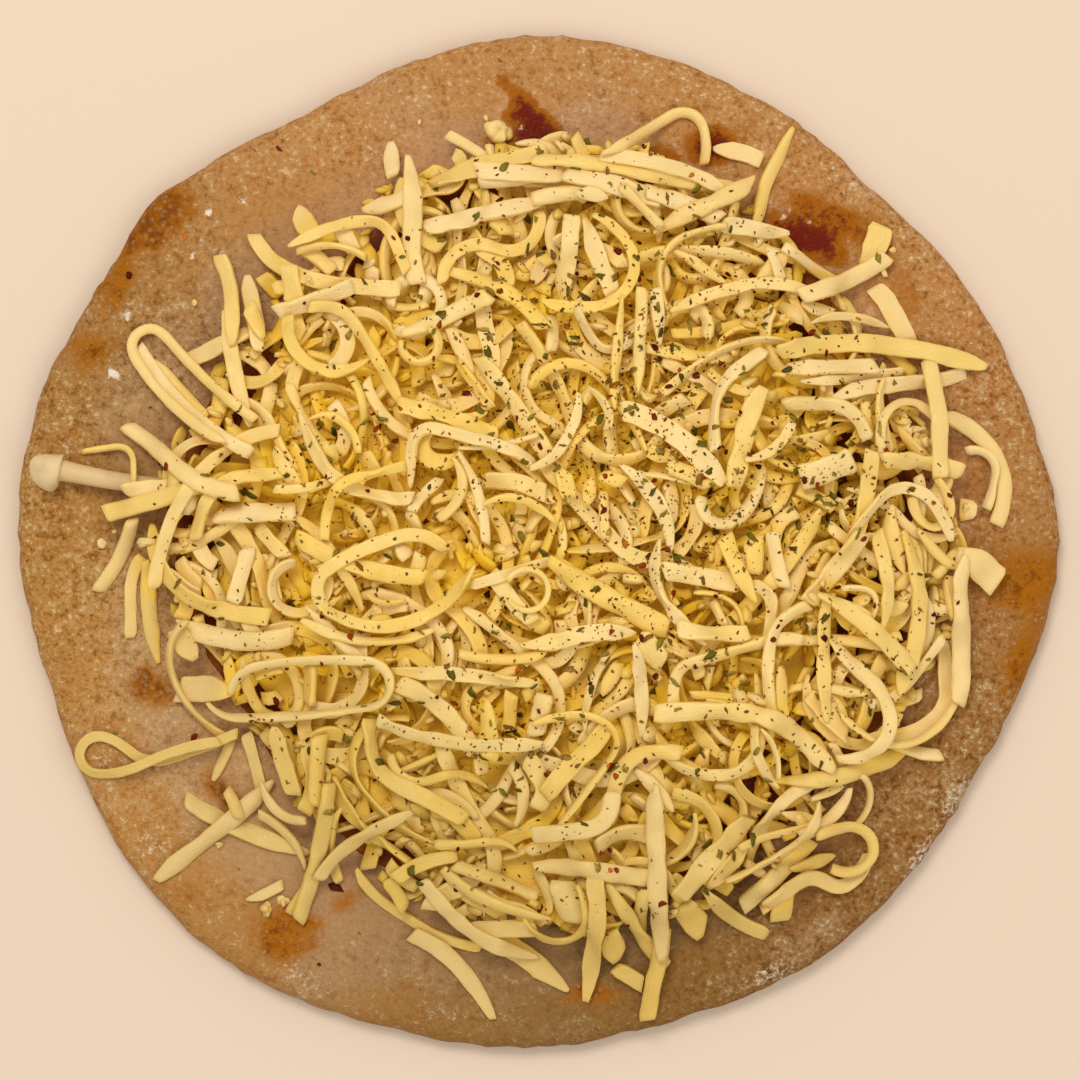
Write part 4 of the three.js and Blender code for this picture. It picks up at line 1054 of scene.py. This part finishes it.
def layShown():
    # the shreds of the table, each over the ones before it
    draw = np.random.RandomState(shred["seed"])
    most, least, perWidth = shred["thickness"]
    rolled, widest = shred["rolled"]
    tubes = []
    for x, y, heading, arcs, width, roll, *ends in shreds:
        width *= shred["slim"]
        thickness = min(most, least + perWidth * width) * draw.uniform(*shred["thicknessSpread"])
        line = middleLine(x, y, heading, arcs)
        roll = math.radians(roll)
        heights, lean = lay(line, width, thickness, roll, shred["sink"])
        blunt = draw.uniform(size=2) < shred["blunt"]
        if ends:
            blunt = [mark == "b" for mark in ends[0]]
        roll += math.radians(draw.uniform(-1, 1) * rolled * min(1, widest / width))
        rings = ribbon(draw, line, heights, lean, width, thickness, roll, blunt)
        tubes.append((rings, draw.uniform()))
    return tubes


def makeShreds():
    laid = {}
    for piece, kind, share in heapLayers:
        laid.setdefault(piece, []).extend(scatter(kind, share))
    tubes = layShown()
    long = [sum(length for length, _ in row[3]) > shred["longFrom"] for row in shreds]
    laid["long_shreds"] = [tube for tube, isLong in zip(tubes, long) if isLong]
    laid["short_shreds"] = [tube for tube, isLong in zip(tubes, long) if not isLong]
    return {piece: join(tubes) for piece, tubes in laid.items()}


cheese = {
    "yellow": (0.92, 0.615, 0.11),
    "cream": (0.93, 0.7, 0.31),
    "fawn": (0.86, 0.6, 0.17),
    "pale": (0.9, 0.675, 0.33),
    "white": (0.92, 0.705, 0.34),
    # painted glow: the golden colour of the hollows, standing in for light scattered through the cheese
    "gold": (0.98, 0.64, 0.03),
    # painted glow on the long side walls of the shreds, as of light coming through the thin cheese
    "wall": (0.9, 0.64, 0.11),
    "low": (0.81, 0.785, 0.64),  # painted shade: what is left of a colour at the bottom of the picture
    # depths in millimetres below the top of the heap over which the painted golden glow grows
    "glowDepths": (3.0, 11.0),
    "patches": (12, 0.8, 0.12),  # size, and how they shift the depth and the distance from the middle
    "streaks": (0.35, 3.2, 1),  # how often along a shred and across it
    "edgeGlowShare": 0.35,  # how much of the painted glow colour the long edges get
    "outerShare": 0.85,
    "hollowGlowShare": (0.96, 0.4),  # how much painted golden glow a hollow gets, and how much less at the outline
    "bump": (0.0004, 0.55),
}


def cheeseMaterial():
    material, start, place, shader = startMaterial("gratedCheese", IOR=1.44, Specular_IOR_Level=0.34)
    strand = attribute(start, "strand", 1)
    tone, depth, outward, patches = (attribute(start, name)
                                     for name in ("tone", "depth", "outward", "patches"))
    streaks = speckle(strand.scaled(cheese["streaks"]), 1, 1.5)
    fine = speckle(place, 1100, 0)
    yellow = (tone * 0.7 + patches * 0.5).above(0.1, 1.1).blend(cheese["yellow"], cheese["cream"])
    pale = tone.blend(cheese["fawn"], cheese["pale"])
    ground = (outward * cheese["outerShare"]).blend(yellow, pale)
    ground = ((streaks - 0.5) * 1.4).above(0, 1).blend(ground, cheese["white"])
    # painted glow: the long side walls of each shred turn a deeper yellow
    ground = (attribute(start, "wall") * cheese["edgeGlowShare"]).blend(ground, cheese["wall"])
    # painted glow and shade: the deeper a point lies below the top of the heap, the more golden it is
    deep = depth.above(*cheese["glowDepths"])
    most, less = cheese["hollowGlowShare"]
    ground = (deep * (most - outward * outward * outward * less)).blend(ground, cheese["gold"])
    # painted shade: colours darken towards the bottom of the picture, as if the light fell off there
    ground = (attribute(start, "low") * (1 - deep)).blend(ground, ground.scaled(cheese["low"]))
    feed(shader, "Base Color", ground)
    feed(shader, "Roughness", 0.28 + (fine - 0.5) * 0.25 + streaks * 0.12)
    feed(shader, "Normal", bump(streaks + fine * 0.25, *cheese["bump"]))
    return material


cheeseFinish = cheeseMaterial()
reach = startReach()
heaped = {"core": makeCore(), **makeShreds()}
top = overhead(reach.heights, reachMap["evened"])
for piece, mesh in heaped.items():
    setShading(mesh)
    addPiece("cheese_" + piece, mesh, cheeseFinish, "cheese_heap")
    print(piece, len(mesh.polygons), "faces")
print("cheese done")


# Herbs, pepper and crumbs, dropped from above on what is already there.

herbs = {  # count, lengths, widths as a share, thickness, corners, fold, seed
    "oregano": (600, (1.4, 4.2), (0.28, 0.6), 0.16, 9, 0.25, 71),
    "chilli": (240, (0.9, 2.6), (0.4, 0.9), 0.3, 6, 0.05, 72),
    "pepper": (4600, (0.35, 1.25), (0.25, 0.75), 0.2, 5, 0.0, 73),
}
flake = {
    "reach": (0.55, 1.2),  # how unevenly its corners stick out
    "lowerFace": 0.96,
    "bulge": (0.6, 0.5),  # of the upper and the lower face, as shares of the thickness
}
herbFall = {
    "smaller": 1.4,  # more than 1 makes more of them small
    "fullThickness": 1.2,  # length from which a flake has all of its thickness
    "tilt": 0.18,
    "sunk": 0.3,  # share of the thickness
    "steepest": 0.3,  # upward share of the face below, under which a flake slides off
    "half": 104,  # of the square in which places are tried
    "tries": 20,
    "outmost": 1.02,  # share of the heap's radius
    "thinly": 0.16,  # share that falls where the table below has none
    "patchy": (0.75, 0.6, 9),
}
sprinkled = [  # x, y, radius and strength of the places where the herbs lie closest
    [10, 14, 26, 1.0], [38, 28, 26, 1.0], [22, -14, 22, 0.75], [-46, 20, 18, 0.6], [-62, 20, 12, 0.4],
    [-10, 56, 22, 0.5], [62, 8, 22, 0.5], [42, 74, 18, 0.45], [-2, -46, 24, 0.4], [-50, -20, 22, 0.35],
    [30, 55, 26, 0.4], [75, 30, 20, 0.3], [60, -40, 26, 0.3], [80, -20, 20, 0.25],
]
looseHerbs = {  # on the bare crust and here and there on the cheese: x, y and length
    "oregano": [[-56.7, 91.7, 2.4], [-10, 119.5, 1.6], [-98, -30.5, 1.8], [114, 26, 1.4],
                [-45, -98, 1.2], [84, 93, 1.6], [-105.7, -48, 1.8], [84, 70, 3.4]],
    "chilli": [[-102.5, 66, 2.4], [-65, 97.5, 2.4], [-88.5, 75.5, 1.8], [-51, -86.7, 4.2],
               [-55, -105.7, 1.4], [-86, -49, 3.0], [-92, 18, 2.6]],
    "pepper": [[-71, 97, 1.0], [-87, 80, 0.9], [-92, 58, 0.8], [-97, 33, 1.1], [78, 90, 1.0],
               [102, 71, 0.8], [-30, -112, 0.8], [95, 10, 1.0], [107, -42, 0.7], [46, -100, 0.8],
               [-75, -82, 0.9]],
}
shavings = {
    "count": 1500,
    "depth": 5.5,  # they lie in the hollows, at least this far below the top of the heap
    "lengths": (3.0, 8.0),
    "widths": (0.3, 0.6),
    "thicknesses": (0.9, 1.6),
    "corners": 7,
    "fold": 0.25,
    "tilt": 0.45,
    "sunk": 0.3,
    "seed": 82,
}
crumbs = {
    "places": [[-10, 102, 5.6], [-109, -1, 2.8], [-57, 64, 2.2], [-13.5, 105, 1.8], [-86, 59, 2.0],
               [-80, -76, 2.4], [-68, -92, 3.2], [-64, -90, 2.6], [-30, 104, 1.8], [88, 72, 2.4],
               [106, 8, 1.8], [-106, 2, 1.4]],
    "lumps": ((0.55, 0.45), (0.09, 0.16)),  # how high the large and the small ones are, and their sizes
    "stretch": (0.65, 1.2),
    "tilt": 0.1,
    "raised": 0.22,  # share of its size by which a crumb's middle lies above the ground
    "seed": 81,
}


def dropTo(graph, x, y):
    # where a thing dropped at x and y lands, and which way that spot faces
    start = Vector((x * mm, y * mm, 0.2))
    hit, place, normal, *_ = bpy.context.scene.ray_cast(graph, start, Vector((0, 0, -1)))
    return (place / mm, normal) if hit else (None, None)


def scatterSpots(draw, count, even=False):
    # places inside the heap's outline, closer together where the table says so unless even is set
    x, y = draw.uniform(-herbFall["half"], herbFall["half"], (2, herbFall["tries"] * count))
    strength = sum(weight * np.exp(-((x - spotX) ** 2 + (y - spotY) ** 2) / radius ** 2)
                   for spotX, spotY, radius, weight in sprinkled)
    least, more, size = herbFall["patchy"]
    strength = (herbFall["thinly"] + strength) * (least + more * cloud(x, y, size, 74))
    inside = heapShare(x, y) < herbFall["outmost"]
    kept = inside & (draw.uniform(size=len(x)) < (1 if even else strength))
    return list(zip(x[kept], y[kept]))[:count]


def flakeRings(draw, corners, long, wide, thickness, fold):
    # a small uneven leaf: the outlines of its upper and lower faces, then their two middles
    theta = (np.arange(corners) + draw.uniform()) / corners * fullTurn
    out = draw.uniform(*flake["reach"], corners)
    x, y = np.cos(theta) * out * long / 2, np.sin(theta) * out * long * wide / 2
    curl = draw.uniform(-1, 1) * fold * x ** 2 / long + fold * np.abs(y)
    upper = np.stack([x, y, thickness / 2 + curl], 1)
    under, (above, below) = flake["lowerFace"], flake["bulge"]
    lower = np.stack([x * under, y * under, -thickness / 2 + curl], 1)
    return np.concatenate([upper, lower, [[0, 0, thickness * above], [0, 0, -thickness * below]]])


def flakeFaces(corners):
    around = np.arange(corners)
    after = (around + 1) % corners
    top, bottom = np.full(corners, 2 * corners), np.full(corners, 2 * corners + 1)
    fans = [np.stack([around, after, top], 1), np.stack([after + corners, around + corners, bottom], 1)]
    sides = np.stack([around, around + corners, after + corners, after], 1)
    return np.concatenate(fans).tolist() + sides.tolist()


def settle(draw, shape, place, normal, tilt, sunk):
    # turns a small shape to lie on the spot it fell on
    normal = (normal + Vector(draw.normal(0, tilt, 3))).normalized()
    turn = normal.to_track_quat("Z", "Y").to_matrix() @ Matrix.Rotation(draw.uniform(0, fullTurn), 3, "Z")
    return shape @ np.array(turn).T + np.array(place + normal * sunk)


def gather(name, shapes, faces, tones):
    # one mesh from many small shapes that share one list of faces, each with its own tone
    size = len(shapes[0])
    starts = range(0, size * len(shapes), size)
    allFaces = [[start + corner for corner in face] for start in starts for face in faces]
    mesh = bpy.data.meshes.new(name)
    mesh.from_pydata(np.concatenate(shapes).tolist(), [], allFaces)
    setAttribute(mesh, "tone", np.repeat(tones, size))
    return mesh


def makeFlakes(kind):
    count, lengths, widths, thickness, corners, fold, seed = herbs[kind]
    draw = np.random.RandomState(seed)
    spots = [(x, y, None) for x, y in scatterSpots(draw, count)] + looseHerbs[kind]
    shapes, tones = [], []
    graph = bpy.context.evaluated_depsgraph_get()
    for x, y, long in spots:
        place, normal = dropTo(graph, x, y)
        if place is None or normal.z < herbFall["steepest"]:
            continue
        long = long or lengths[0] + (lengths[1] - lengths[0]) * draw.uniform() ** herbFall["smaller"]
        thick = thickness * min(1, long / herbFall["fullThickness"])
        shape = flakeRings(draw, corners, long, draw.uniform(*widths), thick, fold)
        shapes.append(settle(draw, shape, place, normal, herbFall["tilt"], thickness * herbFall["sunk"]))
        tones.append(draw.uniform())
    return gather(kind, shapes, flakeFaces(corners), tones)


def makeShavings():
    # torn scraps of cheese in the hollows between the shreds
    draw = np.random.RandomState(shavings["seed"])
    shapes, tones, strands = [], [], []
    graph = bpy.context.evaluated_depsgraph_get()
    for x, y in scatterSpots(draw, shavings["count"], True):
        place, normal = dropTo(graph, x, y)
        if place is None or top[reach.cells(x, y)] - place.z < shavings["depth"]:
            continue
        long, wide, thick = (draw.uniform(*shavings[name])
                             for name in ("lengths", "widths", "thicknesses"))
        shape = flakeRings(draw, shavings["corners"], long, wide, thick, shavings["fold"])
        shapes.append(settle(draw, shape, place, normal, shavings["tilt"], shavings["sunk"]))
        tones.append(draw.uniform())
        strands.append(shape)
    return cheeseMesh("shavings", shapes, flakeFaces(shavings["corners"]), tones, strands)


def makeCrumbs():
    # the few lumps that lie on the bare crust
    draw = np.random.RandomState(crumbs["seed"])
    sphere = bmesh.new()
    bmesh.ops.create_icosphere(sphere, subdivisions=4, radius=0.5)
    ball = np.array([vert.co for vert in sphere.verts])
    faces = [[vert.index for vert in face.verts] for face in sphere.faces]
    sphere.free()
    (large, largeSize), (small, smallSize) = crumbs["lumps"]
    shapes, tones, strands = [], [], []
    graph = bpy.context.evaluated_depsgraph_get()
    for x, y, size in crumbs["places"]:
        place, normal = dropTo(graph, x, y)
        seed = draw.randint(1000)
        lumps = 1 + large * cloud(ball[:, 0], ball[:, 1] + ball[:, 2], largeSize, seed)
        lumps += small * cloud(ball[:, 0] - ball[:, 2], ball[:, 1], smallSize, seed + 1)
        lump = ball * lumps[:, None] * (draw.uniform(*crumbs["stretch"], 3) * size)
        shapes.append(settle(draw, lump, place, normal, crumbs["tilt"], size * crumbs["raised"]))
        tones.append(draw.uniform(0.5, 1))
        strands.append(ball * size)
    return cheeseMesh("crumbs", shapes, faces, tones, strands)


def cheeseMesh(name, shapes, faces, tones, strands):
    mesh = gather(name, shapes, faces, tones)
    setShading(mesh)
    setAttribute(mesh, "strand", np.concatenate(strands))
    # a little of the painted edge glow all over the scraps and crumbs
    setAttribute(mesh, "wall", np.full(len(mesh.vertices), 0.3))
    return mesh


def flakeMaterial(name, stops, roughness):
    material, start, place, shader = startMaterial(name, IOR=1.45, Specular_IOR_Level=0.12)
    tone, fine = attribute(start, "tone"), speckle(place, 1500, 2)
    ramp = start.node("ValToRGB", {"stops": stops}, {0: tone + (fine - 0.5) * 0.35})
    feed(shader, "Base Color", ramp)
    feed(shader, "Roughness", roughness + (fine - 0.5) * 0.3)
    feed(shader, "Normal", bump(fine, 0.0003, 0.6))
    return material


addPiece("cheese_shavings", makeShavings(), cheeseFinish, "cheese_heap")
addPiece("cheese_crumbs", makeCrumbs(), cheeseFinish, "cheese_heap")
flakeColours = {
    "oregano": [(0, (0.08, 0.062, 0.006)), (0.35, (0.18, 0.14, 0.012)), (0.6, (0.33, 0.25, 0.03)),
                (0.85, (0.2, 0.085, 0.01)), (1, (0.48, 0.34, 0.06))],
    "chilli": [(0, (0.06, 0.006, 0.002)), (0.45, (0.15, 0.012, 0.003)), (0.8, (0.32, 0.04, 0.004)),
               (1, (0.6, 0.18, 0.01))],
    "pepper": [(0, (0.075, 0.024, 0.006)), (0.4, (0.21, 0.068, 0.01)), (0.75, (0.4, 0.105, 0.01)),
               (1, (0.25, 0.19, 0.03))],
}
for kind, stops in flakeColours.items():
    addPiece(kind + "_flakes", makeFlakes(kind), flakeMaterial(kind, stops, 0.6), "cheese_heap")
print("herbs done")


# The mushroom.

mushroom = {
    "stem": [(0, 0), (2.2, 0), (2.5, 0.8), (2.4, 5), (2.3, 10), (2.3, 16), (2.35, 21), (2.5, 25),
             (2.7, 27.2)],
    "cap": [(2.9, 27.6), (3.5, 27.2), (4.2, 27.3), (4.6, 27.9), (4.7, 28.9), (4.55, 30.2), (4.1, 31.9),
            (3.4, 33.4), (2.4, 34.5), (1.2, 35.1), (0, 35.3)],
    "steps": 28,
    "bend": 0.5,
    "uneven": (0.06, 4),  # how much the radius varies, and over what length
    "lopsided": (26.8, 28.6, 0.72, 1.3),  # where the cap starts and is full, its width to each side
    "capShare": (0.74, 0.8),  # of the length, where the colour changes
    "stemColour": (0.7, 0.5, 0.25),
    "capColour": (0.74, 0.57, 0.31),
    "dark": (0.46, 0.27, 0.1),
}


def makeMushroom():
    start, tip = (Vector(end) for end in mushroomLine)
    axis = tip - start
    bm = lathe(mushroom["stem"] + mushroom["cap"], mushroom["steps"])
    most, over = mushroom["uneven"]
    capStart, capFull, narrow, wide = mushroom["lopsided"]
    for vert in bm.verts:
        x, y, along = vert.co
        vert.co.x += mushroom["bend"] * math.sin(along / axis.length * math.pi)
        squeeze = 1 + most * float(cloud(along, math.atan2(y, x), over, 91))
        sideways = (narrow if x < 0 else wide) - 1
        vert.co.x *= squeeze * (1 + sideways * smoothStep(capStart, capFull, along))
        vert.co.y *= squeeze
    along = [vert.co.z / axis.length for vert in bm.verts]
    turn = axis.to_track_quat("Z", "Y").to_matrix().to_4x4()
    bmesh.ops.transform(bm, matrix=Matrix.Translation(start) @ turn, verts=bm.verts)
    mesh = toMesh(bm, "mushroom")
    setAttribute(mesh, "along", np.array(along))
    return mesh


def mushroomMaterial():
    material, start, place, shader = startMaterial("enoki", IOR=1.42)
    along = attribute(start, "along")
    soft, fine = speckle(place, 160, 3), speckle(place, 900, 2)
    flesh = along.above(*mushroom["capShare"]).blend(mushroom["stemColour"], mushroom["capColour"])
    flesh = ((soft - 0.5) * 1.4 + 0.15).above(0, 1).blend(flesh, mushroom["dark"])
    feed(shader, "Base Color", flesh)
    feed(shader, "Roughness", 0.4 + fine * 0.2)
    feed(shader, "Normal", bump(soft + fine * 0.3, 0.0004, 0.4))
    return material


enoki = addPiece("enoki", makeMushroom(), mushroomMaterial(), "enoki_mushroom")
smoother = enoki.modifiers.new("smooth", "SUBSURF")
smoother.levels = smoother.render_levels = 2
print("mushroom done")


# Floor, light and camera.

view = {"distance": 1.2, "field": 0.27, "atHeight": 0.004}  # all of this section is in metres
studio = {
    "floor": (0.79, 0.645, 0.515, 1),
    "floorSize": 3,
    "floorBelow": 0.0002,
    "world": ((1, 0.95, 0.88, 1), 0.63),
    # place, size, power and colour
    "key": ((-0.28, 0.6, 1.33), 0.6, 8.7, (1, 0.95, 0.86)),
    "fill": ((0.6, -0.45, 1.15), 1.0, 3.2, (1, 0.95, 0.88)),
}


def makeFloor():
    bm = bmesh.new()
    bmesh.ops.create_grid(bm, x_segments=1, y_segments=1, size=studio["floorSize"],
                          matrix=Matrix.Translation((0, 0, -studio["floorBelow"])))
    floor = bpy.data.objects.new("floor", toMesh(bm, "floor"))
    bpy.context.scene.collection.objects.link(floor)
    floor.data.materials.append(startMaterial("paleFloor", Base_Color=studio["floor"], Roughness=0.7)[0])


def makeLight(name):
    place, size, power, colour = studio[name]
    light = bpy.data.lights.new(name, "AREA")
    light.shape = "DISK"
    light.size, light.energy, light.color = size, power, colour
    lamp = bpy.data.objects.new(name, light)
    lamp.location = place
    lamp.rotation_euler = (-Vector(place)).to_track_quat("-Z", "Y").to_euler()
    bpy.context.scene.collection.objects.link(lamp)


def makeWorld():
    world = bpy.data.worlds.new("studio")
    world.use_nodes = True
    colour, strength = world.node_tree.nodes["Background"].inputs[:2]
    colour.default_value, strength.default_value = studio["world"]
    bpy.context.scene.world = world


def makeCamera():
    camera = bpy.data.objects.new("camera", bpy.data.cameras.new("camera"))
    away = view["distance"] - view["atHeight"]
    camera.data.lens = camera.data.sensor_width * away / view["field"]
    camera.location = (0, 0, view["distance"])
    bpy.context.scene.collection.objects.link(camera)
    bpy.context.scene.camera = camera


makeFloor()
makeLight("key")
makeLight("fill")
makeWorld()
makeCamera()
bpy.context.scene.view_settings.view_transform = "Standard"
print("stage done")
